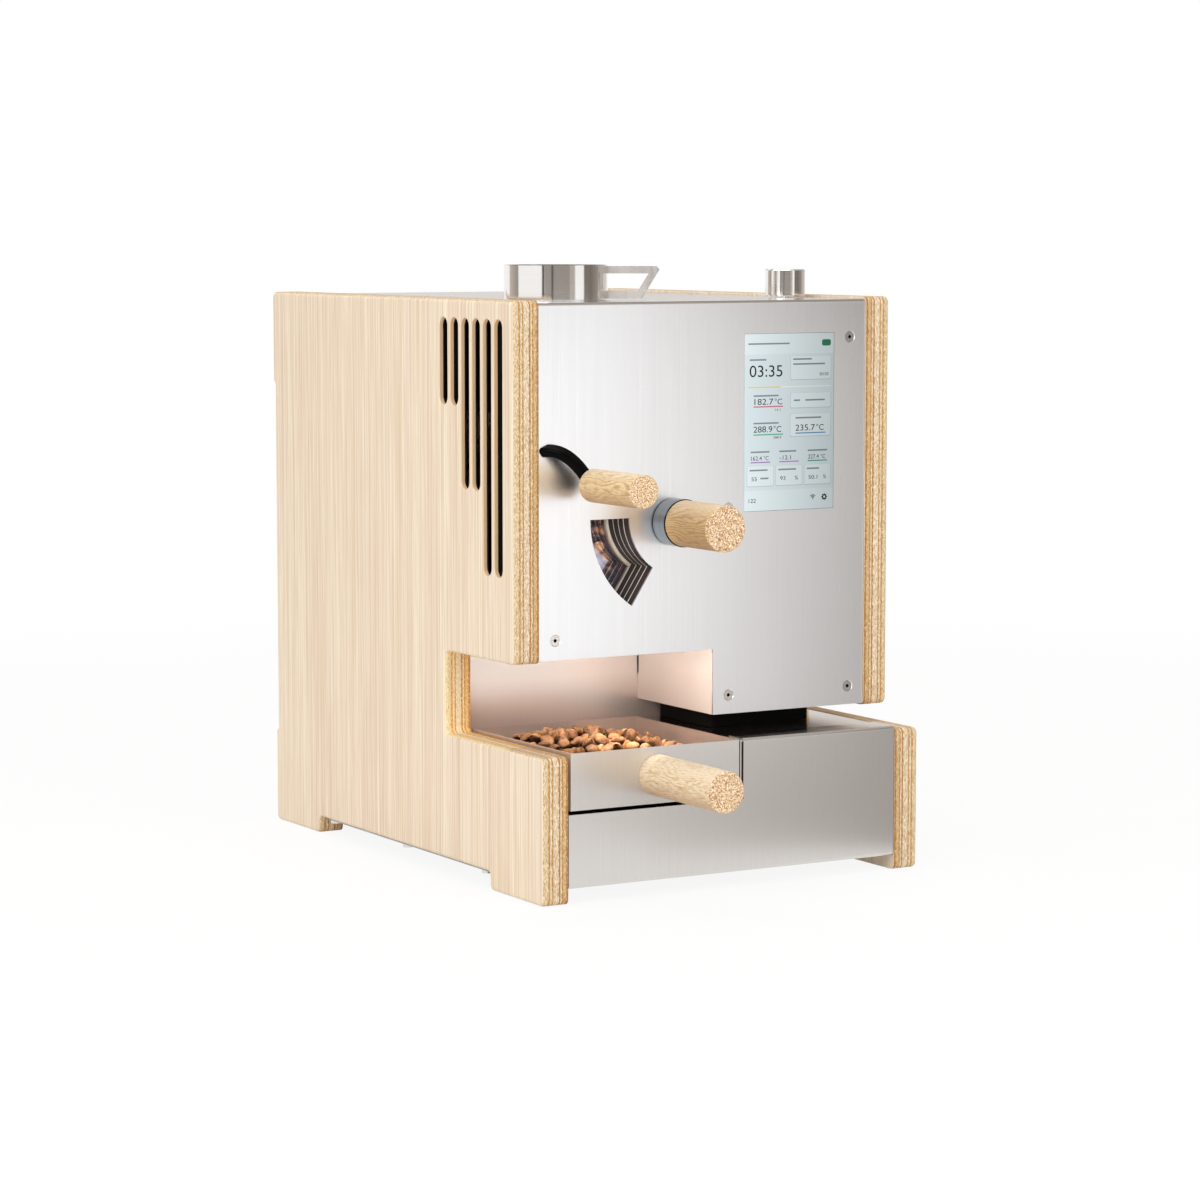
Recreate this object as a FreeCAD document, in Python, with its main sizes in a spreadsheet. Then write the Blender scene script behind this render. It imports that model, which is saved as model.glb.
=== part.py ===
import FreeCAD, Part

# Home coffee bean roaster: a drum roaster between two plywood side panels.
# Millimetres. X runs to the right, Y to the back, Z up; the origin is the centre of the
# object's footprint on the worktop. Every size is a cell of the sheet "sizes".

import math
import os

import Sketcher

DOC = FreeCAD.newDocument("coffee_roaster")
V = FreeCAD.Vector

SIZES = (
    # the plywood sides and the gap between them
    ("plate_width", 280.0, "width of the front plate"),
    ("side_gap", 0.5, "gap between the front plate and a side panel"),
    ("ply_thickness", 21.0, "thickness of a side panel"),
    ("panel_height", 427.9, "height of a side panel"),
    ("rear_reach", 400.2, "from the front plate's face back to the panels' rear edge"),
    ("nose_reach", 43.1, "from the front plate's face forward to the panels' nose"),
    ("panel_lead", 1.0, "how far the panels' upper edge stands before the front plate"),
    ("foot_length", 79.2, "length of a foot along the panel"),
    ("foot_height", 13.4, "height of the arch between the feet"),
    ("notch_bottom", 106.5, "height of the notch's floor in the panels"),
    ("notch_top", 168.2, "height of the left notch's roof"),
    ("notch_rear", 103.8, "depth of the notch behind the front plate's face"),
    ("slit_top", 119.7, "height of the right slit's roof"),
    ("corner_round", 4.5, "radius of a panel's corners"),
    ("face_round", 3.0, "radius along a panel's outer edges"),
    ("recess_low", 73.1, "lower end of the finger recess in a panel's rear edge"),
    ("recess_high", 356.7, "upper end of the finger recess"),
    ("recess_depth", 3.0, "depth of the finger recess"),
    ("vent_width", 12.4, "width of a vent slot in the left panel"),
    ("vent_pitch", 16.75, "distance from slot to slot"),
    ("vent_first", 21.2, "first slot's centre behind the front plate's face"),
    ("vent_margin", 13.6, "from the panel's top down to the vent slots"),
    ("vent_count", 6, "vent slots in the left panel"),
    ("vent_long", 184.8, "length of the two longest slots"),
    ("vent_step", 60.4, "what each next pair of slots is shorter by"),
    ("vent_round", 1.0, "rounding of the slots' mouths"),
    ("vent_skin", 4.6, "wood left behind the slots, where the panel is hollowed"),
    ("vent_hollow_front", 29.6, "front wall of that hollow, behind the plate's face"),
    ("vent_hollow_margin", 8.0, "what the hollow reaches past the slots"),
    # sheet metal
    ("sheet", 1.5, "outer steel sheet"),
    ("liner", 1.2, "inner steel sheet"),
    ("sheet_gap", 0.3, "gap between a moving sheet part and its neighbour"),
    ("bend", 2.5, "outer radius of a bend"),
    ("plate_top", 426.2, "top of the front plate and the top cover"),
    ("plate_bottom", 121.3, "bottom of the front plate's right half"),
    ("plate_flange", 14.0, "depth of the front plate's top flange"),
    ("cover_joint", 0.4, "joint between the front plate and the top cover"),
    ("cover_skirt", 12.0, "height of the top cover's side skirts"),
    ("niche_right", 7.0, "right edge of the niche"),
    ("niche_top", 169.9, "top of the niche"),
    ("niche_depth", 109.0, "back wall of the niche behind the plate's face"),
    ("niche_round", 2.0, "radius of the niche's corner in the plate"),
    ("niche_relief_low", 140.7, "lower end of the relief slot in the niche's corner"),
    ("niche_relief", 1.6, "width of that relief slot"),
    ("liner_flange", 26.0, "width of the niche liner's screw flange"),
    ("back_inset", 6.7, "from the panels' rear edge in to the back plate"),
    ("base_sheet", 2.0, "thickness of the base plate"),
    ("base_lead", 36.0, "how far the base plate reaches before the plate's face"),
    ("tab_reach", 16.0, "how far the base plate's tabs reach under the panels"),
    ("tab_gap", 5.0, "from a tab's end to the foot"),
    ("bracket_leg", 24.0, "leg of a front corner bracket"),
    ("bracket_leg_back", 15.0, "leg of a back corner bracket"),
    ("bracket_sheet", 2.0, "thickness of a corner bracket"),
    ("bracket_gap_under", 21.0, "the left bracket stops this far under the lever's pivot"),
    ("bracket_gap_over", 29.0, "and goes on this far above it"),
    # screws
    ("screw_head", 4.0, "radius of a countersunk head"),
    ("screw_radius", 2.0, "radius of a screw's thread"),
    ("screw_length", 12.0, "length of a countersunk screw"),
    ("screw_gap", 0.05, "gap round a screw"),
    ("head_sink", 0.3, "how far a countersunk head lies under the plate's face"),
    ("hex_radius", 1.44, "corner radius of the hexagon socket"),
    ("hex_depth", 1.2, "depth of the hexagon socket"),
    ("screw_side", 126.5, "outer plate screws, from the middle"),
    ("screw_high", 398.2, "height of the upper right plate screw"),
    ("screw_low", 135.2, "height of the two lower right plate screws"),
    ("screw_left", 184.1, "height of the left plate screw"),
    ("screw_inner", 20.6, "inner plate screws, right of the middle"),
    ("screw_mid", 273.9, "height of the middle plate screw"),
    ("back_screw_inset", 9.0, "from the back plate's edges in to its screws"),
    ("pan_head", 4.0, "radius of a pan head under the base"),
    ("pan_height", 2.6, "height of a pan head"),
    ("pan_length", 14.0, "length of a base screw's thread"),
    ("pan_side", 152.0, "base screws, from the middle"),
    ("pan_lead", 15.7, "from a base tab's front end to its first screw"),
    ("pan_trail", 5.2, "from a base tab's last screw to its rear end"),
    ("pan_count", 3, "base screws on each side"),
    # the drum and its chamber
    ("drum_x", -21.0, "drum axis, from the middle"),
    ("drum_z", 270.0, "drum axis, height"),
    ("drum_radius", 80.0, "inner radius of the drum"),
    ("drum_wall", 1.5, "wall of the drum"),
    ("drum_length", 126.0, "length of the drum"),
    ("drum_gap", 2.0, "gap between the drum's mouth and the chamber front"),
    ("vane_height", 16.0, "height of a mixing vane"),
    ("vane_thickness", 1.5, "thickness of a mixing vane"),
    ("vane_count", 5, "mixing vanes"),
    ("vane_twist", 8.0, "turn of a vane from one of its sections to the next"),
    ("vane_margin", 4.0, "from the drum's ends to a vane's ends"),
    ("drum_hole", 13.0, "radius of an air hole in the drum's rear disc"),
    ("drum_hole_circle", 48.0, "radius of the circle of air holes"),
    ("drum_hole_count", 6, "air holes in the drum's rear disc"),
    ("jacket_gap", 3.5, "air gap round the drum"),
    ("jacket_wall", 2.0, "wall of the jacket"),
    ("chamber_y", 36.0, "chamber front, behind the plate's face"),
    ("chamber_sheet", 4.0, "thickness of the chamber's end plates"),
    ("chamber_rim", 4.0, "how far the chamber front reaches past the jacket"),
    ("chamber_back_rim", 1.2, "how far the chamber back reaches past the jacket"),
    ("saddle_sheet", 4.0, "thickness of a saddle under the jacket"),
    ("saddle_width", 80.0, "width of a saddle"),
    ("saddle_inset", 20.0, "from the jacket's ends to its saddles"),
    ("standoff_radius", 5.0, "radius of a post behind the front plate"),
    ("shaft_radius", 6.0, "radius of the drum shaft"),
    ("shaft_hub", 14.0, "radius of the shaft's flange"),
    ("shaft_flange", 3.0, "thickness of the shaft's flange"),
    ("bearing_radius", 14.0, "outer radius of a drum bearing"),
    ("bearing_width", 8.0, "width of a drum bearing"),
    ("bearing_span", 30.0, "over both drum bearings"),
    ("bearing_wall", 6.0, "wall of the bearing housing"),
    ("bearing_race", 2.67, "thickness of a bearing's race"),
    ("bearing_dip", 1.0, "how deep the seal lies between the races"),
    ("running_gap", 0.05, "radial running clearance of a shaft"),
    ("seat_gap", 0.05, "radial gap of a fixed seat"),
    ("gear_module", 1.5, "module of the drum drive"),
    ("gear_teeth", 48, "teeth of the drum gear"),
    ("pinion_teeth", 12, "teeth of the motor pinion"),
    ("gear_width", 10.0, "face width of the drum gear"),
    ("gear_start", 6.0, "from the bearing housing back to the drum gear"),
    ("backlash", 0.9, "play between the teeth"),
    ("tooth_slope", 22.0, "slope of a tooth's flank, degrees"),
    ("tip_height", 0.85, "height of a tooth above the pitch circle, in modules"),
    ("root_depth", 1.25, "depth of a tooth below the pitch circle, in modules"),
    ("motor_radius", 18.5, "radius of the drum motor"),
    ("motor_length", 58.0, "length of the drum motor"),
    ("motor_shaft", 3.0, "radius of the motor's shaft"),
    ("gearbox_length", 19.3, "length of the motor's gearbox"),
    ("gearbox_rim", 1.0, "how far the gearbox stands out over the motor"),
    ("drive_gap", 4.0, "from the drum gear back to the drive bracket"),
    ("drive_sheet", 3.0, "thickness of the drive bracket"),
    ("drive_left", 118.0, "left edge of the drive bracket, from the middle"),
    ("drive_right", 34.0, "right edge of the drive bracket, from the middle"),
    ("drive_top", 344.0, "top of the drive bracket"),
    ("drive_foot", 20.0, "depth of the drive bracket's foot"),
    # air
    ("heater_x", -71.0, "air heater, from the middle"),
    ("heater_z", 316.0, "air heater, height"),
    ("heater_radius", 22.0, "outer radius of the air heater"),
    ("heater_length", 124.0, "length of the air heater"),
    ("heater_core", 6.0, "radius of the heater's ceramic core"),
    ("heater_rib", 2.0, "thickness of a rib on the core"),
    ("heater_ribs", 6, "ribs on the core"),
    ("cyclone_x", 80.0, "chaff cyclone, from the middle"),
    ("cyclone_y", 72.0, "chaff cyclone, behind the plate's face"),
    ("cyclone_radius", 30.0, "radius of the cyclone"),
    ("cyclone_top", 215.0, "top of the cyclone"),
    ("cyclone_cone", 178.0, "upper end of the cyclone's cone"),
    ("cyclone_neck", 14.0, "radius of the cyclone's outlet"),
    ("cyclone_neck_top", 132.0, "lower end of the cyclone's cone"),
    ("cross_duct_y", 44.0, "duct from the jacket to the cyclone, behind the plate's face"),
    ("cross_duct_width", 12.0, "inner width of that duct"),
    ("cross_duct_low", 196.0, "floor of that duct"),
    ("cross_duct_height", 13.0, "inner height of that duct"),
    ("pipe_radius", 15.0, "outer radius of the exhaust pipe"),
    ("pipe_wall", 1.2, "wall of the exhaust pipe"),
    ("pipe_dip", 12.0, "how far the exhaust pipe reaches into the cyclone"),
    ("pipe_bend", 25.0, "bend radius of the exhaust pipe"),
    ("blower_z", 244.0, "blower axis, height"),
    ("blower_radius", 43.0, "outer radius of the blower"),
    ("blower_depth", 44.0, "depth of the blower along its axis"),
    ("blower_wall", 2.0, "wall of the blower"),
    ("chimney_width", 40.0, "width of the blower's outlet"),
    ("chimney_top", 324.0, "top of the blower's outlet"),
    ("chimney_mouth", 28.0, "height of the outlet's mouth in the back"),
    ("impeller_radius", 37.0, "radius of the blower impeller"),
    ("impeller_gap", 4.0, "gap before and behind the impeller"),
    ("impeller_disc", 2.0, "thickness of the impeller's disc"),
    ("impeller_hub", 9.0, "radius of the impeller's hub"),
    ("impeller_blades", 14, "blades of the impeller"),
    ("impeller_blade_root", 24.0, "inner radius of a blade"),
    ("impeller_blade", 1.6, "thickness of a blade"),
    ("impeller_lean", 9.0, "how far a blade's tip leads its root"),
    ("impeller_margin", 2.25, "from a blade's tip to the disc's edge"),
    ("spindle_radius", 3.0, "radius of a fan's spindle"),
    ("seal_left", 20.0, "left side of the chaff duct's seal"),
    ("seal_right", 109.0, "right side of the seal"),
    ("seal_front", 26.0, "front of the seal, behind the plate's face"),
    ("seal_back", 100.0, "back of the seal, behind the plate's face"),
    ("seal_wall", 10.0, "width of the seal's ring"),
    ("seal_round", 4.0, "corner radius of the seal"),
    ("fan_side", 60.0, "side of the cooling fan's frame"),
    ("fan_depth", 25.0, "depth of the cooling fan"),
    ("fan_bore", 28.5, "radius of the cooling fan's bore"),
    ("fan_x", -70.0, "cooling fan, from the middle"),
    ("fan_lift", 1.1, "from the base plate up to the fan's frame"),
    ("fan_hub", 11.5, "radius of the fan's hub"),
    ("fan_blades", 7, "blades of the fan"),
    ("fan_tip_gap", 1.0, "gap round the blades"),
    ("fan_blade", 1.6, "thickness of a fan blade"),
    ("fan_sweep", 8.0, "how far a fan blade leans"),
    ("fan_strut", 4.0, "width and depth of the fan's struts"),
    ("fan_struts", 3, "struts of the fan"),
    # the window
    ("window_inner", 44.0, "inner radius of the window"),
    ("window_outer", 76.5, "outer radius of the window"),
    ("window_end", 57.0, "angle from the window's top edge to its lower edge, degrees"),
    ("window_margin", 7.0, "how far the spacers reach round the window"),
    ("window_margin_angle", 4.0, "the same along the arc, degrees"),
    ("spacer", 6.6, "thickness of a dark spacer behind the window"),
    ("shim", 0.9, "thickness of a light shim between the spacers"),
    ("spacer_count", 4, "spacers"),
    ("frame_inset", 2.4, "how far the window frame reaches into the window"),
    ("frame_thickness", 2.4, "thickness of the window frame"),
    # the display
    ("screen_left", 33.4, "left edge of the screen"),
    ("screen_right", 112.5, "right edge of the screen"),
    ("screen_bottom", 270.5, "bottom of the screen"),
    ("screen_top", 401.7, "top of the screen"),
    ("screen_gap", 0.2, "gap round the screen"),
    ("screen_glass", 2.0, "thickness of the screen's glass"),
    ("module_rim", 2.4, "how far the display module reaches past the screen"),
    ("module_depth", 16.0, "depth of the display module"),
    ("board_front", 150.0, "front edge of the control board, behind the plate's face"),
    ("board_length", 140.0, "length of the control board"),
    ("board_bottom", 300.0, "bottom of the control board"),
    ("board_height", 100.0, "height of the control board"),
    ("board_sheet", 1.6, "thickness of the control board"),
    ("board_post", 12.0, "length of the control board's posts"),
    ("board_post_radius", 3.0, "radius of those posts"),
    ("board_inset", 8.0, "from the board's edges to its posts"),
    ("chip_height", 10.0, "height of the parts on the board"),
    ("chip_side", 26.0, "side of the parts on the board"),
    ("chip_rise", 24.0, "from the board's lower edge up to those parts"),
    ("chip_count", 3, "larger parts on the board"),
    # the bean inlet
    ("cup_x", -79.0, "inlet cup, from the middle"),
    ("cup_y", 83.0, "inlet cup, behind the plate's face"),
    ("cup_radius", 38.5, "outer radius of the inlet cup"),
    ("cup_wall", 2.0, "wall of the inlet cup"),
    ("cup_height", 25.8, "height of the inlet cup above the cover"),
    ("cup_floor", 2.0, "floor of the inlet cup"),
    ("cup_spigot", 33.5, "radius of the cup's spigot in the cover"),
    ("cup_gap", 0.3, "gap between the cup and the cover"),
    ("cup_hole", 12.0, "radius of the bean hole in the cup's floor"),
    ("cup_hole_offset", 16.0, "bean hole, from the cup's axis"),
    ("loop_angle", -35.0, "direction of the cup's loop handle, degrees from X"),
    ("loop_top", 38.2, "reach of the loop at its top, from the cup"),
    ("loop_foot", 25.2, "reach of the loop at its foot, from the cup"),
    ("loop_bar", 5.4, "width of the loop's upper and lower bars"),
    ("loop_post", 6.2, "width of the loop's leaning bar, measured level"),
    ("loop_sheet", 3.0, "thickness of the loop"),
    ("loop_drop", 0.8, "from the cup's rim down to the loop's top"),
    ("loop_clear", 1.2, "from the cover up to the loop's foot"),
    ("loop_bevel", 2.4, "bevel at the loop's outer corner"),
    ("flange_sheet", 3.0, "thickness of the fixed inlet flange"),
    ("flange_radius", 37.0, "radius of the fixed inlet flange"),
    ("chute_width", 30.0, "width of the inlet chute"),
    ("chute_front", 6.4, "front of the inlet chute, behind the plate's face"),
    ("chute_mouth", 30.0, "depth of the chute's mouth under the cup"),
    ("chute_drop", 372.0, "height where the chute's slope meets its shaft"),
    ("chute_rise", 4.0, "from the flange down to the chute's slope"),
    ("chute_low", 299.0, "bottom of the inlet chute"),
    ("inlet_hole", 11.0, "radius of the bean hole in the chamber front"),
    ("inlet_z", 312.0, "bean hole in the chamber front, height"),
    # the knob
    ("knob_x", 118.0, "control knob, from the middle"),
    ("knob_y", 76.0, "control knob, behind the plate's face"),
    ("knob_radius", 15.3, "radius of the knob"),
    ("knob_height", 20.5, "height of the knob"),
    ("knob_gap", 1.0, "gap under the knob"),
    ("knob_bevel", 0.8, "bevel of the knob's edges"),
    ("knob_shaft", 3.0, "radius of the knob's shaft"),
    ("encoder_side", 16.0, "side of the encoder's case"),
    ("encoder_depth", 12.0, "depth of the encoder's case"),
    ("encoder_bore", 5.5, "radius of the case's bore"),
    ("encoder_neck", 4.5, "radius of the encoder's neck"),
    ("rotor_height", 6.0, "height of the encoder's rotor"),
    ("rotor_lift", 3.0, "from the case's bottom to the rotor"),
    ("rotor_gap", 0.5, "gap under and over the rotor"),
    ("encoder_floor", 1.0, "floor of the case"),
    # the lever and the bean gate
    ("lever_x", -133.5, "lever pivot, from the middle"),
    ("lever_z", 321.0, "lever pivot, height"),
    ("lever_reach_x", 27.3, "from the pivot to the grip, sideways"),
    ("lever_reach_z", 24.6, "from the pivot down to the grip"),
    ("lever_rise", 26.0, "height of the arm's elbow above the grip"),
    ("lever_elbow", 11.0, "arm's elbow, right of the pivot"),
    ("lever_out", 20.0, "from the plate's face out to the grip"),
    ("arm_width", 9.4, "width of the lever's arm"),
    ("arm_height", 7.6, "height of the lever's arm"),
    ("arm_round", 2.6, "rounding of the arm's section"),
    ("arm_boss", 5.6, "radius of the arm's boss behind the grip"),
    ("grip_radius", 12.0, "radius of the lever's grip"),
    ("grip_length", 70.0, "length of the lever's grip"),
    ("grip_bevel", 0.7, "bevel of a wooden grip's end"),
    ("tang_radius", 3.0, "radius of the tang in the lever's grip"),
    ("tang_length", 40.0, "length of the tang in the lever's grip"),
    ("pivot_radius", 4.0, "radius of the lever's shaft"),
    ("crank_length", 16.0, "length of the cranks"),
    ("crank_angle", 20.0, "angle of the cranks at rest, degrees above X"),
    ("crank_sheet", 2.4, "thickness of the cranks"),
    ("crank_hub", 5.8, "radius of a crank's hub"),
    ("link_width", 9.0, "width of the link"),
    ("link_sheet", 2.4, "thickness of the link"),
    ("link_gap", 0.4, "gap before and behind the link"),
    ("link_pin", 2.0, "radius of the link's pins"),
    ("link_knee_x", -24.0, "the link's knee, from the middle"),
    ("link_knee_z", 306.0, "the link's knee, height"),
    ("gate_x", 8.0, "gate pivot, from the middle"),
    ("gate_z", 236.0, "gate pivot, height"),
    ("gate_radius", 23.0, "radius of the gate"),
    ("gate_sheet", 2.4, "thickness of the gate"),
    ("gate_arm", 12.0, "width of the gate's arm"),
    ("gate_shaft", 3.0, "radius of the gate's shaft"),
    ("port_x", -18.0, "drop port, from the middle"),
    ("port_z", 206.0, "drop port, height"),
    ("port_width", 38.0, "width of the drop port"),
    ("port_height", 22.0, "height of the drop port"),
    ("hood_margin", 1.0, "from the port's sides to the drop chute"),
    ("hood_front", 4.0, "front of the drop chute, behind the plate's face"),
    ("hood_gap", 0.4, "gap between the drop chute and the gate"),
    # the trier
    ("trier_x", -28.1, "trier, from the middle"),
    ("trier_z", 265.9, "trier, height"),
    ("collar_radius", 17.55, "radius of the trier's collar"),
    ("collar_length", 17.6, "length of the trier's collar"),
    ("collar_bevel", 0.6, "bevel of the collar's rim"),
    ("collar_spigot", 10.2, "radius of the collar's spigot"),
    ("collar_spigot_length", 14.0, "length of the collar's spigot"),
    ("tube_wall", 2.4, "wall of the trier's guide tube"),
    ("trier_radius", 8.0, "radius of the trier's rod"),
    ("trier_gap", 0.4, "gap round the trier's rod"),
    ("trier_depth", 138.0, "end of the trier, behind the plate's face"),
    ("scoop_length", 72.0, "length of the trier's scoop"),
    ("scoop_wall", 1.2, "wall of the trier's scoop"),
    ("scoop_tip", 4.0, "solid tip of the trier"),
    ("trier_grip", 16.9, "radius of the trier's grip"),
    ("trier_grip_length", 55.0, "length of the trier's grip"),
    ("trier_tang", 5.0, "radius of the tang in the trier's grip"),
    ("trier_tang_length", 40.0, "length of that tang"),
    # tray and drawer
    ("fascia_reach", 42.7, "from the plate's face forward to the tray's and drawer's front"),
    ("tray_left", 138.1, "left side of the tray, from the middle"),
    ("tray_right", 3.0, "right side of the tray"),
    ("tray_bottom", 67.1, "bottom of the tray"),
    ("tray_top", 108.4, "top of the tray"),
    ("tray_rear", 104.0, "back of the tray, behind the plate's face"),
    ("tray_slot_width", 3.0, "width of an air slot in the tray's floor"),
    ("tray_slot_length", 46.0, "length of an air slot"),
    ("tray_slot_columns", 12, "air slots side by side"),
    ("tray_slot_rows", 2, "rows of air slots"),
    ("tray_slot_pitch", 10.5, "from one air slot to the next"),
    ("tray_row_pitch", 60.0, "from one row to the next"),
    ("handle_x", -66.4, "tray handle, from the middle"),
    ("handle_z", 87.8, "tray handle, height"),
    ("handle_radius", 15.0, "radius of the tray handle"),
    ("handle_length", 92.8, "length of the tray handle"),
    ("handle_screw", 2.5, "radius of the screw hole in the tray handle"),
    ("handle_screw_depth", 30.0, "depth of that hole"),
    ("heap_gap", 1.0, "from the tray's walls to the beans"),
    ("heap_height", 41.0, "height of the heap of beans"),
    ("heap_round", 24.0, "rounding of the heap"),
    ("fascia_left_top", 64.3, "top of the drawer's front under the tray"),
    ("fascia_step", 6.8, "left side of the drawer front's tall half"),
    ("fascia_top", 108.9, "top of the drawer's front"),
    ("fascia_bottom", 10.9, "bottom of the drawer's front"),
    ("fascia_gap", 0.2, "from the drawer's front to the outline of the carcass"),
    ("fascia_flange", 25.0, "depth of the front's top flange"),
    ("fascia_lip", 5.5, "depth of the front's lower lip"),
    ("fascia_relief", 5.0, "bevel at the top flange's left corner"),
    ("drawer_side_gap", 0.5, "gap at the drawer's sides"),
    ("drawer_lift", 0.6, "from the base plate up to the drawer"),
    ("drawer_step", 4.6, "left wall of the drawer's tall half"),
    ("drawer_low", 63.5, "top of the drawer's low half"),
    ("drawer_rear", 102.0, "back of the drawer, behind the plate's face"),
    ("grille_slot", 4.0, "width of a slot in a grille"),
    ("grille_pitch", 8.0, "from slot to slot in a grille"),
    ("drawer_grille_slots", 8, "slots in the drawer's back"),
    ("drawer_grille_margin", 10.0, "from the drawer's floor and top to those slots"),
    ("deck_bottom", 65.3, "underside of the cooling deck"),
    ("deck_front", 30.0, "how far the deck reaches before the plate's face"),
    ("deck_right", 3.4, "right edge of the deck"),
    ("deck_rim", 18.0, "rim of the deck round its air opening"),
    ("deck_flange", 14.0, "height of the deck's side flange"),
    # the back
    ("socket_x", -86.0, "power inlet, from the middle"),
    ("socket_z", 66.0, "power inlet, height"),
    ("socket_width", 60.0, "width of the power inlet's flange"),
    ("socket_height", 36.0, "height of the power inlet's flange"),
    ("socket_flange", 2.0, "thickness of that flange"),
    ("socket_rim", 3.0, "from the flange's edge in to its body"),
    ("socket_depth", 28.0, "depth of the power inlet's body"),
    ("plug_width", 25.0, "width of the plug's recess"),
    ("plug_height", 17.0, "height of the plug's recess"),
    ("plug_depth", 18.0, "depth of the plug's recess"),
    ("plug_offset", 12.0, "plug's recess, left of the power inlet's middle"),
    ("plug_pin", 5.0, "width of a contact pin"),
    ("plug_pin_thickness", 2.0, "thickness of a contact pin"),
    ("plug_pin_pitch", 7.0, "from one contact pin to the next"),
    ("plug_pin_length", 12.0, "length of a contact pin"),
    ("rocker_offset", 16.0, "rocker, right of the power inlet's middle"),
    ("rocker_width", 12.0, "width of the rocker"),
    ("rocker_height", 20.0, "height of the rocker"),
    ("rocker_face", 4.0, "from the rocker's pivot out to the middle of its face"),
    ("rocker_back", 5.0, "from the rocker's pivot in to its back"),
    ("rocker_tip", 6.0, "from the rocker's pivot out to its tips"),
    ("rocker_tilt", 8.0, "tilt of the rocker at rest, degrees"),
    ("rocker_gap", 0.5, "gap at the rocker's sides"),
    ("rocker_well", 16.0, "depth of the rocker's well"),
    ("rocker_sweep", 3.0, "room over and under the rocker"),
    ("rocker_pivot", 1.5, "radius of the rocker's pivot pin"),
    ("rocker_pin", 2.0, "how far the pivot pin enters the well's sides"),
    ("outlet_slots", 4, "slots of the exhaust outlet in the back"),
    ("vent_slots", 12, "vent slots low in the back"),
    ("back_vent_low", 40.0, "lower end of the back's vent slots"),
    ("back_vent_high", 92.0, "upper end of the back's vent slots"),
    ("back_vent_x", -20.0, "first vent slot in the back, from the middle"),
)


class Term:
    """A length or number of the sheet, or a sum or product of them, with its expression."""

    def __init__(self, text, value):
        self.text = text
        self.value = value

    def __add__(self, other):
        other = term(other)
        return Term(f"({self.text} + {other.text})", self.value + other.value)

    def __sub__(self, other):
        other = term(other)
        return Term(f"({self.text} - {other.text})", self.value - other.value)

    def __mul__(self, other):
        other = term(other)
        return Term(f"({self.text} * {other.text})", self.value * other.value)

    def __truediv__(self, other):
        other = term(other)
        return Term(f"({self.text} / {other.text})", self.value / other.value)

    def __rsub__(self, other):
        return term(other) - self

    def __neg__(self):
        return Term(f"(-1 * {self.text})", -self.value)

    __radd__ = __add__
    __rmul__ = __mul__


def term(number):
    """The number itself as a Term, or the Term that it already is."""
    return number if isinstance(number, Term) else Term(repr(number), number)


def cosine(angle):
    return Term(f"cos({angle.text})", math.cos(math.radians(angle.value)))


def sine(angle):
    return Term(f"sin({angle.text})", math.sin(math.radians(angle.value)))


def tangent(angle):
    return Term(f"tan({angle.text})", math.tan(math.radians(angle.value)))


def make_sheet():
    """The spreadsheet that drives the model: one row for each size."""
    sheet = DOC.addObject("Spreadsheet::Sheet", "sizes")
    for row, (alias, number, meaning) in enumerate(SIZES, start=1):
        sheet.set(f"A{row}", alias)
        sheet.set(f"B{row}", str(number))
        sheet.set(f"C{row}", meaning)
        sheet.setAlias(f"B{row}", alias)
    DOC.recompute()


make_sheet()
S = type("Sizes", (), {alias: Term(f"sizes.{alias}", number) for alias, number, _ in SIZES})

# Places that several parts share.
FACE = (S.fascia_reach + S.handle_length - S.rear_reach) / 2
HALF = S.plate_width / 2
PANEL = HALF + S.side_gap
BACK = FACE + S.rear_reach - S.back_inset
CHAMBER = FACE + S.chamber_y
DRUM_FRONT = CHAMBER + S.chamber_sheet + S.drum_gap
DRUM_REAR = DRUM_FRONT + S.drum_length
JACKET_IN = S.drum_radius + S.drum_wall + S.jacket_gap
JACKET_OUT = JACKET_IN + S.jacket_wall
CHAMBER_REAR = DRUM_REAR + S.drum_gap + S.shaft_flange
BEARING_END = CHAMBER_REAR + S.chamber_sheet + S.bearing_span
GEAR_FRONT = BEARING_END + S.gear_start
GEAR_BACK = GEAR_FRONT + S.gear_width
DRIVE = GEAR_BACK + S.drive_gap
MOTOR_X = S.drum_x - S.gear_module * (S.gear_teeth + S.pinion_teeth) / 2
VENT_TOP = S.panel_height - S.vent_margin
VENT_BACK = FACE + S.vent_first + S.vent_pitch * (S.vent_count - 1) + S.vent_width / 2
TAB_FRONT = FACE - S.nose_reach + S.foot_length + S.tab_gap
TAB_BACK = FACE + S.rear_reach - S.foot_length - S.tab_gap
PAN_FIRST = TAB_FRONT + S.pan_lead
PAN_PITCH = (TAB_BACK - S.pan_trail - PAN_FIRST) / (S.pan_count - 1)
FLOOR_TOP = S.plate_bottom + S.liner
CEILING = S.niche_top + S.liner
BASE_TOP = S.foot_height
COVER_UNDER = S.plate_top - S.sheet
LINK_FRONT = FACE + S.sheet + S.link_gap
LINK_BACK = LINK_FRONT + S.link_sheet
CRANK_FRONT = LINK_BACK + S.link_gap
GATE_BACK = CHAMBER - S.sheet_gap
GATE_FRONT = GATE_BACK - S.gate_sheet
TUBE_IN = S.collar_spigot + S.running_gap
TUBE_OUT = TUBE_IN + S.tube_wall
BLOWER_FRONT = BACK - S.blower_depth
DRAWER_TOP = S.fascia_top - S.liner
PLANES = {"XY": "XY_Plane", "XZ": "XZ_Plane", "YZ": "YZ_Plane"}
NEVER = 1e-6
SAME_PLACE = 0.01
STRAIGHT = 0.001
LEEWAY = 1.0
FULL_TURN = 360
HALF_TURN = term(180)
ARC_CENTRE = 3
HEX_SIDES = 6
VANE_STEPS = 3


# ---------------------------------------------------------------- drawing helpers

def bind(item, name, size):
    """Sets a property now and keeps it tied to the sheet."""
    item.setExpression(name, term(size).text)


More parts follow.
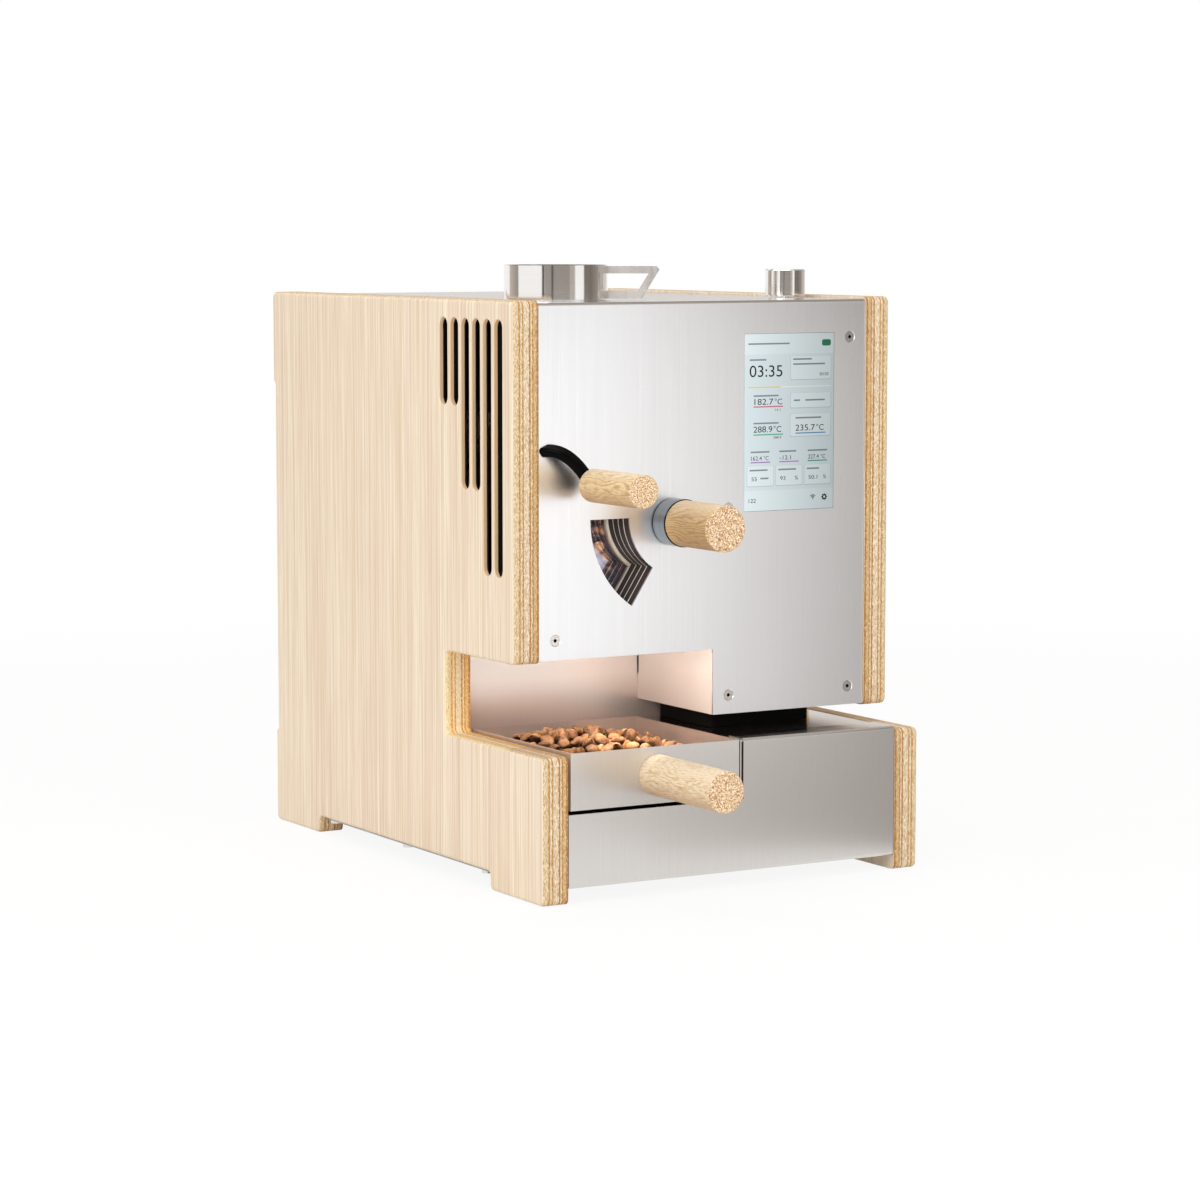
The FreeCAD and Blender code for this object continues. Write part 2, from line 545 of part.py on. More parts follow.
def sketch_on(body, plane, offset, turn=None):
    """A sketch on one of the body's own planes, moved by offset along the sketch's axes."""
    sketch = body.newObject("Sketcher::SketchObject", "Sketch")
    origin = [item for item in body.Origin.OriginFeatures if item.Role == PLANES[plane]]
    sketch.AttachmentSupport = [(origin[0], "")]
    sketch.MapMode = "FlatFace"
    for axis, distance in zip("xyz", offset):
        bind(sketch, f"AttachmentOffset.Base.{axis}", distance)
    if turn is not None:
        sketch.AttachmentOffset = FreeCAD.Placement(V(), V(0, 1, 0), turn.value)
        bind(sketch, "AttachmentOffset.Rotation.Angle", turn)
    return sketch


def level(plane, place):
    """The offset of a sketch whose plane stands at a place along its world axis."""
    return (0, 0, -term(place)) if plane == "XZ" else (0, 0, place)


def constrain_point(sketch, geometry, position, corner):
    """Locates one end of an edge from the sketch's origin."""
    for kind, size in zip(("DistanceX", "DistanceY"), corner):
        size = term(size)
        index = sketch.addConstraint(
            Sketcher.Constraint(kind, -1, 1, geometry, position, size.value))
        tie(sketch, index, size)


def arc_edge(start, end, radius, side):
    """The short arc from start to end that bulges to the right (1) or left (-1) of the way."""
    chord = end - start
    half = chord.Length / 2
    sagitta = radius - math.sqrt(max(radius * radius - half * half, 0.0))
    outward = V(chord.y, -chord.x, 0).normalize() * sagitta * side
    middle = (start + end) / 2 + outward
    first, last = (start, end) if side > 0 else (end, start)
    return Part.Arc(first, middle, last)


def tie(sketch, index, size):
    """Keeps a constraint's value tied to the sheet."""
    sketch.setExpression(f"Constraints[{index}]", size.text)


def constrain_arc(sketch, edge, corner, chord):
    """Sets an arc's radius, or the height of its centre where it is a level half circle."""
    radius, height = term(corner[2]), term(corner[1])
    if near(chord / 2, radius):
        index = sketch.addConstraint(
            Sketcher.Constraint("DistanceY", -1, 1, edge, ARC_CENTRE, height.value))
        tie(sketch, index, height)
    else:
        tie(sketch, sketch.addConstraint(
            Sketcher.Constraint("Radius", edge, radius.value)), radius)


def draw(sketch, corners):
    """A closed outline. A corner is (x, y), or (x, y, radius, side) where an arc leaves it."""
    points = [V(term(c[0]).value, term(c[1]).value, 0) for c in corners]
    count = len(corners)
    ends = []
    for index, corner in enumerate(corners):
        start, end = points[index], points[(index + 1) % count]
        if len(corner) == 2:
            edge = sketch.addGeometry(Part.LineSegment(start, end))
            ends.append((edge, 1, 2))
            continue
        radius, side = term(corner[2]), corner[3]
        edge = sketch.addGeometry(arc_edge(start, end, radius.value, side))
        ends.append((edge, 1, 2) if side > 0 else (edge, 2, 1))
    for index in range(count):
        edge, _, last = ends[index]
        following, first, _ = ends[(index + 1) % count]
        sketch.addConstraint(Sketcher.Constraint("Coincident", edge, last, following, first))
    for index, ((edge, first, _), corner) in enumerate(zip(ends, corners)):
        constrain_point(sketch, edge, first, corner[:2])
        if len(corner) > 2:
            chord = (points[(index + 1) % count] - points[index]).Length
            constrain_arc(sketch, edge, corner, chord)


def draw_circle(sketch, centre, radius):
    radius = term(radius)
    middle = V(term(centre[0]).value, term(centre[1]).value, 0)
    edge = sketch.addGeometry(Part.Circle(middle, V(0, 0, 1), radius.value))
    constrain_point(sketch, edge, ARC_CENTRE, centre)
    tie(sketch, sketch.addConstraint(Sketcher.Constraint("Radius", edge, radius.value)),
        radius)


def rectangle(left, low, right, high):
    return [(left, low), (right, low), (right, high), (left, high)]


def slot(left, low, right, high):
    """An upright slot with round ends."""
    radius = (term(right) - left) / 2
    return [(left, low + radius, radius, 1), (right, low + radius),
            (right, high - radius, radius, 1), (left, high - radius)]


def volume(body):
    DOC.recompute()
    return 0.0 if body.Shape.isNull() else body.Shape.Volume


def new_body(label):
    body = DOC.addObject("PartDesign::Body", label)
    body.Label = label
    body.AllowCompound = True
    return body


def extrude(body, kind, plane, place, outlines, depth, turn=None, offset=None):
    """A pad or pocket from a place along the world axis, towards the positive end."""
    before = volume(body)
    sketch = sketch_on(body, plane, offset or level(plane, place), turn)
    for outline in outlines:
        if isinstance(outline, list):
            draw(sketch, outline)
        else:
            draw_circle(sketch, outline[:2], outline[2])
    feature = body.newObject(f"PartDesign::{kind}", kind)
    feature.Profile = sketch
    bind(feature, "Length", depth)
    feature.Reversed = (plane == "XZ") == (kind == "Pad")
    sketch.Visibility = False
    after = volume(body)
    if (after <= before + NEVER) if kind == "Pad" else (after >= before - NEVER):
        raise RuntimeError(f"{kind} on {body.Label} changes nothing")
    return feature


def pad(body, plane, place, outlines, depth, **where):
    return extrude(body, "Pad", plane, place, outlines, depth, **where)


def pocket(body, plane, place, outlines, depth, **where):
    return extrude(body, "Pocket", plane, place, outlines, depth, **where)


AXES = {
    "Y": ("XY", lambda x, z: (x, 0, z)),
    "Z": ("XZ", lambda x, y: (x, 0, -term(y))),
}


def turned(body, axis, centre, outline, kind="Revolution"):
    """A solid or groove of revolution: outline corners are (radius, place along the axis)."""
    before = volume(body)
    plane, offset = AXES[axis]
    sketch = sketch_on(body, plane, offset(*centre))
    draw(sketch, outline)
    feature = body.newObject(f"PartDesign::{kind}", kind)
    feature.Profile = sketch
    feature.ReferenceAxis = (sketch, ["V_Axis"])
    feature.Angle = FULL_TURN
    sketch.Visibility = False
    if abs(volume(body) - before) < NEVER:
        raise RuntimeError(f"{kind} on {body.Label} changes nothing")
    return feature, sketch


def ring(inner, outer, start, end):
    """The outline of a turned ring, or of a plain disc where inner is 0."""
    return [(inner, start), (outer, start), (outer, end), (inner, end)]


def grip_outline(radius, start, end, bevel, bore, depth):
    """A round wooden grip from start (its cap) to end, with a blind bore in its rear."""
    return [(0, start), (radius - bevel, start), (radius, start + bevel),
            (radius, end), (bore, end), (bore, end - depth), (0, end - depth)]


def polar(body, features, sketch, count, axis="V_Axis"):
    """Repeats features round an axis of the sketch."""
    pattern = body.newObject("PartDesign::PolarPattern", "PolarPattern")
    pattern.Originals = features
    pattern.Axis = (sketch, [axis])
    pattern.Angle = FULL_TURN
    bind(pattern, "Occurrences", count)
    body.Tip = pattern
    DOC.recompute()


def linear(body, features, sketch, axis, pitch, count):
    """Repeats features along an axis of the sketch at a pitch."""
    pattern = body.newObject("PartDesign::LinearPattern", "LinearPattern")
    pattern.Originals = features
    pattern.Direction = (sketch, [axis])
    bind(pattern, "Length", pitch * (count - 1))
    bind(pattern, "Occurrences", count)
    body.Tip = pattern
    DOC.recompute()
    return pattern


def edges_where(body, test):
    """Names of the body's edges that pass the test."""
    return [f"Edge{index}" for index, edge in enumerate(body.Shape.Edges, start=1) if test(edge)]


def soften(body, radius, test, kind="Fillet"):
    """Fillets or chamfers the body's edges that pass the test."""
    names = edges_where(body, test)
    if not names:
        raise RuntimeError(f"{kind} on {body.Label} finds no edge")
    base = body.Tip
    feature = body.newObject(f"PartDesign::{kind}", kind)
    feature.Base = (base, names)
    bind(feature, "Radius" if kind == "Fillet" else "Size", radius)
    DOC.recompute()
    return feature


def near(value, size):
    return abs(value - term(size).value) < SAME_PLACE


def runs_along(edge, axis):
    """True for a straight edge along a world axis."""
    box = edge.BoundBox
    spans = {"x": box.XLength, "y": box.YLength, "z": box.ZLength}
    return spans.pop(axis) > NEVER and max(spans.values()) < STRAIGHT


def at(edge, **places):
    """True where the edge's middle lies at the given places, such as x=..., z=..."""
    middle = edge.CenterOfMass
    return all(near(getattr(middle, axis), place) for axis, place in places.items())


def countersink(body, x, z, place):
    """The seat of a countersunk screw that enters along +Y at a place."""
    gap = S.screw_gap
    wide, thin = S.screw_head + gap + S.head_sink, S.screw_radius + gap
    length = place + S.screw_length
    turned(body, "Y", (x, z), [(0, place), (wide, place), (thin, place + wide - thin),
                               (thin, length), (0, length)], "Groove")


def back_countersink(body, x, z):
    """The same seat for a screw that enters the back plate along -Y."""
    outer = BACK + S.sheet
    gap = S.screw_gap
    wide, thin = S.screw_head + gap + S.head_sink, S.screw_radius + gap
    turned(body, "Y", (x, z), [(0, outer), (0, outer - S.screw_length),
                               (thin, outer - S.screw_length),
                               (thin, outer - wide + thin), (wide, outer)], "Groove")


# ---------------------------------------------------------------- carcass

def panel_outline(notch_roof):
    """Side view of a panel (Y, Z), from the front foot round to the nose."""
    nose, rear = FACE - S.nose_reach, FACE + S.rear_reach
    front, notch = FACE - S.panel_lead, FACE + S.notch_rear
    inner = rear - S.recess_depth
    return [(nose, 0), (nose + S.foot_length, 0), (nose + S.foot_length, S.foot_height),
            (rear - S.foot_length, S.foot_height), (rear - S.foot_length, 0), (rear, 0),
            (rear, S.recess_low), (inner, S.recess_low + S.recess_depth),
            (inner, S.recess_high - S.recess_depth), (rear, S.recess_high),
            (rear, S.panel_height), (front, S.panel_height), (front, notch_roof),
            (notch, notch_roof), (notch, S.notch_bottom), (nose, S.notch_bottom)]


def side_panel(label, side, notch_roof):
    """A plywood side: rounded corners, rounded outer edges and holes for the base screws."""
    body = new_body(label)
    inner = -PANEL - S.ply_thickness if side < 0 else PANEL
    pad(body, "YZ", inner, [panel_outline(notch_roof)], S.ply_thickness)
    recess = (S.recess_low.value, S.recess_high.value)
    inset = (FACE + S.rear_reach - S.recess_depth).value

    def is_corner(edge):
        middle = edge.CenterOfMass
        in_recess = (middle.y > inset - LEEWAY
                     and recess[0] - LEEWAY < middle.z < recess[1] + LEEWAY)
        return runs_along(edge, "x") and not in_recess

    soften(body, S.corner_round, is_corner)
    outer = (PANEL + S.ply_thickness) * side
    soften(body, S.face_round, lambda edge: near(edge.BoundBox.XMin, outer)
           and near(edge.BoundBox.XMax, outer))
    holes = [(S.pan_side * side, PAN_FIRST, S.screw_radius + S.screw_gap)]
    hole = pocket(body, "XY", S.foot_height, holes, S.pan_length)
    linear(body, [hole], hole.Profile[0], "V_Axis", PAN_PITCH, S.pan_count)
    return body


def vent_slots(body):
    """Six slots in the left panel, in pairs that get shorter towards the back."""
    outer = -PANEL - S.ply_thickness
    for index in range(S.vent_count.value):
        middle = FACE + S.vent_first + S.vent_pitch * index
        low = VENT_TOP - S.vent_long + S.vent_step * (index // 2)
        outline = slot(middle - S.vent_width / 2, low, middle + S.vent_width / 2, VENT_TOP)
        pocket(body, "YZ", outer, [outline], S.ply_thickness)
    first = (FACE + S.vent_first - S.vent_width / 2).value
    last, lowest = VENT_BACK.value, (VENT_TOP - S.vent_long).value

    def is_mouth(edge):
        box = edge.BoundBox
        return (near(box.XMin, outer) and near(box.XMax, outer)
                and box.ZMin > lowest - LEEWAY
                and first - LEEWAY < box.YMin and box.YMax < last + LEEWAY)

    soften(body, S.vent_round, is_mouth)
    margin = S.vent_hollow_margin
    hollow = rectangle(FACE + S.vent_hollow_front, VENT_TOP - S.vent_long - margin,
                       VENT_BACK + margin, VENT_TOP + margin / 2)
    pocket(body, "YZ", outer + S.vent_skin, [hollow], S.ply_thickness)


def window_sector(inset=0, margin=0, angle=0):
    """The window: a ring sector below and left of the drum's axis, as (X, Z) corners."""
    inner, outer = S.window_inner + inset - margin, S.window_outer - inset + margin
    start, end = HALF_TURN - angle, HALF_TURN + S.window_end + angle
    x, z = S.drum_x, S.drum_z

    def spot(radius, turn):
        return x + radius * cosine(turn), z + radius * sine(turn)

    return [spot(outer, start) + (outer, 1), spot(outer, end),
            spot(inner, end) + (inner, -1), spot(inner, start)]


PLATE_SCREWS = ((S.screw_side, S.screw_high), (S.screw_side, S.screw_low),
                (S.screw_inner, S.screw_low), (-S.screw_side, S.screw_left),
                (S.screw_inner, S.screw_mid))


def front_plate():
    """The bent front plate with the niche, window, screen, lever, trier and screws cut in."""
    body = new_body("front_plate")
    inner, lip = FACE + S.sheet, FACE + S.plate_flange
    profile = [(FACE, S.plate_bottom), (inner, S.plate_bottom), (inner, COVER_UNDER),
               (lip, COVER_UNDER), (lip, S.plate_top), (FACE, S.plate_top)]
    pad(body, "YZ", -HALF, [profile], S.plate_width)
    soften(body, S.bend, lambda edge: at(edge, y=FACE, z=S.plate_top))
    soften(body, S.bend - S.sheet, lambda edge: at(edge, y=inner, z=COVER_UNDER))
    niche = rectangle(-HALF - S.sheet, S.plate_bottom - S.sheet, S.niche_right, S.niche_top)
    pocket(body, "XZ", FACE, [niche], S.sheet)
    soften(body, S.niche_round,
           lambda edge: runs_along(edge, "y") and at(edge, x=S.niche_right, z=S.niche_top))
    screen = rectangle(S.screen_left, S.screen_bottom, S.screen_right, S.screen_top)
    pivot = (S.lever_x, S.lever_z, S.pivot_radius + S.running_gap)
    trier = (S.trier_x, S.trier_z, TUBE_OUT + S.screw_gap)
    pocket(body, "XZ", FACE, [screen, window_sector(), pivot, trier], S.sheet)
    for x, z in PLATE_SCREWS:
        countersink(body, x, z, FACE)
    return body


def top_cover():
    """The cover between the panels, with skirts and holes for the cup and the knob."""
    body = new_body("top_cover")
    start = FACE + S.plate_flange + S.cover_joint
    low = S.plate_top - S.cover_skirt
    inner = HALF - S.sheet
    profile = [(-HALF, low), (-inner, low), (-inner, COVER_UNDER), (inner, COVER_UNDER),
               (inner, low), (HALF, low), (HALF, S.plate_top), (-HALF, S.plate_top)]
    pad(body, "XZ", start, [profile], BACK + S.sheet - start)
    cup = (S.cup_x, FACE + S.cup_y, S.cup_spigot + S.cup_gap)
    neck = (S.knob_x, FACE + S.knob_y, S.encoder_neck + S.screw_gap)
    pocket(body, "XY", COVER_UNDER, [cup, neck], S.sheet)
    return body


def base_plate():
    """The base sheet, with tabs that screw up into the panels between their feet."""
    body = new_body("base_plate")
    front = FACE - S.base_lead
    tab = PANEL + S.tab_reach
    outline = [(-HALF, front), (HALF, front), (HALF, TAB_FRONT), (tab, TAB_FRONT),
               (tab, TAB_BACK), (HALF, TAB_BACK), (HALF, BACK), (-HALF, BACK),
               (-HALF, TAB_BACK), (-tab, TAB_BACK), (-tab, TAB_FRONT), (-HALF, TAB_FRONT)]
    pad(body, "XY", BASE_TOP - S.base_sheet, [outline], S.base_sheet)
    radius = S.screw_radius + S.screw_gap
    holes = [(S.pan_side * side, PAN_FIRST, radius) for side in (-1, 1)]
    hole = pocket(body, "XY", BASE_TOP - S.base_sheet, holes, S.base_sheet)
    linear(body, [hole], hole.Profile[0], "V_Axis", PAN_PITCH, S.pan_count)
    return body


BACK_SCREWS = [((HALF - S.back_screw_inset) * side, height)
               for side in (-1, 1)
               for height in (S.screw_low, (S.screw_low + S.screw_high) / 2, S.screw_high)]


def back_plate():
    """The back sheet: power inlet, exhaust outlet, low air vents and six screws."""
    body = new_body("back_plate")
    shoulder, narrow = S.plate_top - S.cover_skirt - S.sheet_gap, HALF - S.sheet - S.sheet_gap
    outline = [(-HALF, BASE_TOP), (HALF, BASE_TOP), (HALF, shoulder), (narrow, shoulder),
               (narrow, COVER_UNDER), (-narrow, COVER_UNDER), (-narrow, shoulder),
               (-HALF, shoulder)]
    pad(body, "XZ", BACK, [outline], S.sheet)
    width = S.socket_width / 2 - S.socket_rim + S.seat_gap
    height = S.socket_height / 2 - S.socket_rim + S.seat_gap
    cutout = rectangle(S.socket_x - width, S.socket_z - height,
                       S.socket_x + width, S.socket_z + height)
    pocket(body, "XZ", BACK, [cutout], S.sheet)
    mouth_low = S.chimney_top - S.blower_wall - S.chimney_mouth
    first = (S.cyclone_x + S.blower_radius - S.chimney_width + S.blower_wall
             + S.grille_pitch - S.grille_slot)
    outlet = pocket(body, "XZ", BACK, [rectangle(first, mouth_low + S.grille_slot,
                    first + S.grille_slot, S.chimney_top - S.grille_pitch)], S.sheet)
    linear(body, [outlet], outlet.Profile[0], "H_Axis", S.grille_pitch, S.outlet_slots)
    vent = pocket(body, "XZ", BACK, [rectangle(S.back_vent_x, S.back_vent_low,
                  S.back_vent_x + S.grille_slot, S.back_vent_high)], S.sheet)
    linear(body, [vent], vent.Profile[0], "H_Axis", S.grille_pitch, S.vent_slots)
    for x, z in BACK_SCREWS:
        back_countersink(body, x, z)
    return body


def niche_liner():
    """Roof and right wall of the niche, with the drop chute that stands on the roof."""
    body = new_body("niche_liner")
    inner, depth = FACE + S.sheet, S.niche_depth - S.sheet
    right = S.niche_right + S.liner
    profile = [(-HALF, S.niche_top), (S.niche_right, S.niche_top),
               (S.niche_right, S.plate_bottom), (right, S.plate_bottom),
               (right, CEILING), (-HALF, CEILING)]
    pad(body, "XZ", inner, [profile], depth)
    flange = rectangle(S.niche_right, FLOOR_TOP, right + S.liner_flange, S.niche_top)
    pad(body, "XZ", inner, [flange], S.liner)
    countersink(body, S.screw_inner, S.screw_low, FACE)
    relief = rectangle(S.niche_right - S.sheet, S.niche_relief_low,
                       right + S.sheet, S.niche_top - S.liner)
    pocket(body, "XZ", FACE + S.niche_depth - S.niche_relief, [relief], S.niche_relief)
    half = S.port_width / 2 + S.hood_margin
    left, end = S.port_x - half, S.port_x + half
    front, back = FACE + S.hood_front, GATE_FRONT - S.hood_gap
    hood_top = S.port_z + S.port_height / 2 + S.hood_margin
    outer = rectangle(left - S.liner, front, end + S.liner, back)
    pad(body, "XY", CEILING, [outer], hood_top + S.liner - CEILING)
    inside = rectangle(left, front + S.liner, end, back + S.liner)
    pocket(body, "XY", S.niche_top, [inside], hood_top - S.niche_top)
    return body


def bulkhead():
    """The wall behind the niche and the drawer, with the cooling fan's opening."""
    body = new_body("bulkhead")
    outline = [(-HALF, BASE_TOP), (HALF, BASE_TOP), (HALF, S.plate_bottom),
               (S.niche_right, S.plate_bottom), (S.niche_right, S.niche_top),
               (-HALF, S.niche_top)]
    place = FACE + S.niche_depth
    pad(body, "XZ", place, [outline], S.liner)
    pocket(body, "XZ", place, [(S.fan_x, fan_z(), S.fan_bore)], S.liner)
    return body


def fan_z():
    return BASE_TOP + S.fan_lift + S.fan_side / 2


def floor_pan():
    """The floor of the upper cabinet, round the niche, with the cyclone's outlet."""
    body = new_body("floor_pan")
    left, front = S.niche_right + S.liner, FACE + S.sheet + S.liner
    step = FACE + S.niche_depth + S.liner
    outline = [(left, front), (HALF, front), (HALF, BACK), (-HALF, BACK), (-HALF, step),
               (left, step)]
    pad(body, "XY", S.plate_bottom, [outline], S.liner)
    neck = (S.cyclone_x, FACE + S.cyclone_y, S.cyclone_neck + S.seat_gap)
    pocket(body, "XY", S.plate_bottom, [neck], S.liner)
    return body


def corner_brackets():
    """Four angles in the cabinet's corners; the left front one makes room for the crank."""
    body = new_body("corner_brackets")
    thin, top = S.bracket_sheet, S.plate_top - S.cover_skirt - S.sheet_gap
    front, back = FACE + S.sheet, BACK
    for side in (-1, 1):
        outer, inner = HALF * side, (HALF - thin) * side
        for face, way, leg in ((front, 1, S.bracket_leg), (back, -1, S.bracket_leg_back)):
            tip = (HALF - leg) * side
            angle = [(outer, face), (tip, face), (tip, face + thin * way),
                     (inner, face + thin * way), (inner, face + leg * way),
                     (outer, face + leg * way)]
            spans = [(FLOOR_TOP, top)]
            if side < 0 and way > 0:
                spans = [(CEILING, S.lever_z - S.bracket_gap_under),
                         (S.lever_z + S.bracket_gap_over, top)]
            for low, high in spans:
                pad(body, "XY", low, [angle], high - low)
    for x, z in PLATE_SCREWS[:2] + PLATE_SCREWS[3:4]:
        countersink(body, x, z, FACE)
    for x, z in BACK_SCREWS:
        back_countersink(body, x, z)
    return body


def cooling_deck():
    """The shelf under the bean tray, open where the cooling air goes through."""
    body = new_body("cooling_deck")
    front, back = FACE - S.deck_front, FACE + S.niche_depth
    pad(body, "XY", S.deck_bottom,
        [rectangle(-HALF, front, S.deck_right, back),
         rectangle(-HALF + S.deck_rim, front + S.deck_rim, S.deck_right - S.deck_rim,
                   back - S.deck_rim)], S.sheet)
    pad(body, "XY", S.deck_bottom,
        [rectangle(-HALF, front, -HALF + S.liner, back)], S.deck_flange)
    return body


def duct_seal():
    """The soft ring between the cabinet's floor and the chaff drawer."""
    body = new_body("duct_seal")
    low = DRAWER_TOP + S.sheet_gap
    front, back = FACE + S.seal_front, FACE + S.seal_back
    wall = S.seal_wall
    pad(body, "XY", low, [rectangle(S.seal_left, front, S.seal_right, back)],
        S.plate_bottom - low)
    soften(body, S.seal_round, lambda edge: runs_along(edge, "z"))
    pocket(body, "XY", low, [rectangle(S.seal_left + wall, front + wall,
                                       S.seal_right - wall, back - wall)],
           S.plate_bottom - low)
    return body


def hex_socket(body, x, z, place):
    """The hexagon socket in a countersunk head, open towards -Y."""
    turns = [term(FULL_TURN / HEX_SIDES * index) for index in range(HEX_SIDES)]
    corners = [(x + S.hex_radius * cosine(turn), z + S.hex_radius * sine(turn))
               for turn in turns]
    pocket(body, "XZ", place, [corners], S.hex_depth)


def countersunk_screws():
    """The countersunk screws of the front plate and the back plate."""
    body = new_body("countersunk_screws")
    head, thread = S.screw_head, S.screw_radius
    front = FACE + S.head_sink
    for x, z in PLATE_SCREWS:
        turned(body, "Y", (x, z), [(0, front), (head, front), (thread, front + head - thread),
                                   (thread, FACE + S.screw_length),
                                   (0, FACE + S.screw_length)])
        hex_socket(body, x, z, front)
    outer = BACK + S.sheet - S.head_sink
    for x, z in BACK_SCREWS:
        turned(body, "Y", (x, z), [(0, outer - S.screw_length),
                                   (thread, outer - S.screw_length),
                                   (thread, outer - head + thread), (head, outer),
                                   (0, outer)])
    return body


def base_screws():
    """Pan-head screws that hold the base plate to the panels."""
    body = new_body("base_screws")
    seat = BASE_TOP - S.base_sheet
    for side in (-1, 1):
        for index in range(S.pan_count.value):
            centre = (S.pan_side * side, PAN_FIRST + PAN_PITCH * index)
            turned(body, "Z", centre,
                   [(0, seat - S.pan_height), (S.pan_head, seat - S.pan_height),
                    (S.pan_head, seat), (S.screw_radius, seat),
                    (S.screw_radius, seat + S.pan_length), (0, seat + S.pan_length)])
    return body


# ---------------------------------------------------------------- chamber and drum

STANDOFFS = ((S.screw_inner, S.screw_mid),
             (S.drum_x - JACKET_IN, S.drum_z + JACKET_IN),
             (S.drum_x - JACKET_IN, S.drum_z - JACKET_IN + S.chamber_rim),
             (S.drum_x + JACKET_IN - S.chamber_rim, S.drum_z - JACKET_IN + S.chamber_rim))


def chamber_front():
    """The drum's front wall: window, bean inlet, drop port, gate bore and posts."""
    body = new_body("chamber_front")
    reach = JACKET_OUT + S.chamber_rim
    pad(body, "XZ", CHAMBER, [rectangle(S.drum_x - reach, S.drum_z - reach,
                                        S.drum_x + reach, S.drum_z + reach)],
        S.chamber_sheet)
    half, tall = S.port_width / 2, S.port_height / 2
    port = rectangle(S.port_x - half, S.port_z - tall, S.port_x + half, S.port_z + tall)
    inlet = (S.cup_x + S.cup_hole_offset, S.inlet_z, S.inlet_hole)
    bore = (S.gate_x, S.gate_z, S.gate_shaft + S.running_gap)
    pocket(body, "XZ", CHAMBER, [window_sector(), port, inlet, bore], S.chamber_sheet)
    posts = [(x, z, S.standoff_radius) for x, z in STANDOFFS]
    pad(body, "XZ", FACE + S.sheet, posts, CHAMBER - FACE - S.sheet)
    countersink(body, S.screw_inner, S.screw_mid, FACE)
    tube_front, tube_back = FACE + S.sheet_gap, CHAMBER + S.chamber_sheet
    centre = (S.trier_x, S.trier_z)
    turned(body, "Y", centre, ring(0, TUBE_OUT, tube_front, tube_back))
    turned(body, "Y", centre, ring(0, TUBE_IN, tube_front, tube_back), "Groove")
    return body


def drum_jacket():
    """The drum's jacket on two saddles, with the opening of the exhaust duct."""
    body = new_body("drum_jacket")
    start = CHAMBER + S.chamber_sheet
    length = CHAMBER_REAR - start
    half = S.saddle_width / 2
    for place, foot in ((start + S.saddle_inset, CEILING),
                        (CHAMBER_REAR - S.saddle_inset - S.saddle_sheet, FLOOR_TOP)):
        pad(body, "XZ", place, [rectangle(S.drum_x - half, foot, S.drum_x + half,
                                          S.drum_z - S.drum_radius)], S.saddle_sheet)
    pad(body, "XZ", start, [(S.drum_x, S.drum_z, JACKET_OUT)], length)
    pocket(body, "XZ", start, [(S.drum_x, S.drum_z, JACKET_IN)], length)
    duct = rectangle(FACE + S.cross_duct_y, S.cross_duct_low,
                     FACE + S.cross_duct_y + S.cross_duct_width,
                     S.cross_duct_low + S.cross_duct_height)
    pocket(body, "YZ", S.drum_x, [duct], JACKET_OUT)
    return body


def chamber_back():
    """The drum's rear wall with the bearing housing and the hot air inlet."""
    body = new_body("chamber_back")
    pad(body, "XZ", CHAMBER_REAR,
        [(S.drum_x, S.drum_z, JACKET_OUT + S.chamber_back_rim)], S.chamber_sheet)
    housing = S.bearing_radius + S.bearing_wall
    start, end = CHAMBER_REAR, BEARING_END
    turned(body, "Y", (S.drum_x, S.drum_z), ring(0, housing, start, end))
    seat = S.bearing_radius + S.seat_gap
    shoulder = S.bearing_radius - S.bearing_wall
    first = start + S.chamber_sheet + S.bearing_width
    last = end - S.bearing_width
    turned(body, "Y", (S.drum_x, S.drum_z),
           [(0, start), (shoulder, start), (shoulder, start + S.chamber_sheet),
            (seat, start + S.chamber_sheet), (seat, first), (shoulder, first),
            (shoulder, last), (seat, last), (seat, end), (0, end)], "Groove")
    pocket(body, "XZ", start, [(S.heater_x, S.heater_z, S.heater_radius + S.seat_gap)],
           S.chamber_sheet)
    return body


def drum_bearings():
    """Two ball bearings, each with a grooved face between its races."""
    body = new_body("drum_bearings")
    bore, outer = S.shaft_radius + S.running_gap, S.bearing_radius
    inner_race, outer_race = S.shaft_radius + S.bearing_race, outer - S.bearing_race
    dip = S.bearing_dip
    for start in (CHAMBER_REAR + S.chamber_sheet, BEARING_END - S.bearing_width):
        end = start + S.bearing_width
        turned(body, "Y", (S.drum_x, S.drum_z),
               [(bore, start), (inner_race, start), (inner_race, start + dip),
                (outer_race, start + dip), (outer_race, start), (outer, start), (outer, end),
                (outer_race, end), (outer_race, end - dip), (inner_race, end - dip),
                (inner_race, end), (bore, end)])
    return body


def vane_section(turn):
    """Cross-section of a mixing vane on the drum's wall, turned round the axis."""
    out, root = S.drum_radius + S.drum_wall / 2, S.drum_radius - S.vane_height
    half = S.vane_thickness / 2
    x, z = S.drum_x, S.drum_z
    along, across = (cosine(turn), sine(turn)), (-sine(turn), cosine(turn))
    return [(x + radius * along[0] + offset * across[0],
             z + radius * along[1] + offset * across[1])
            for radius, offset in ((root, -half), (out, -half), (out, half), (root, half))]


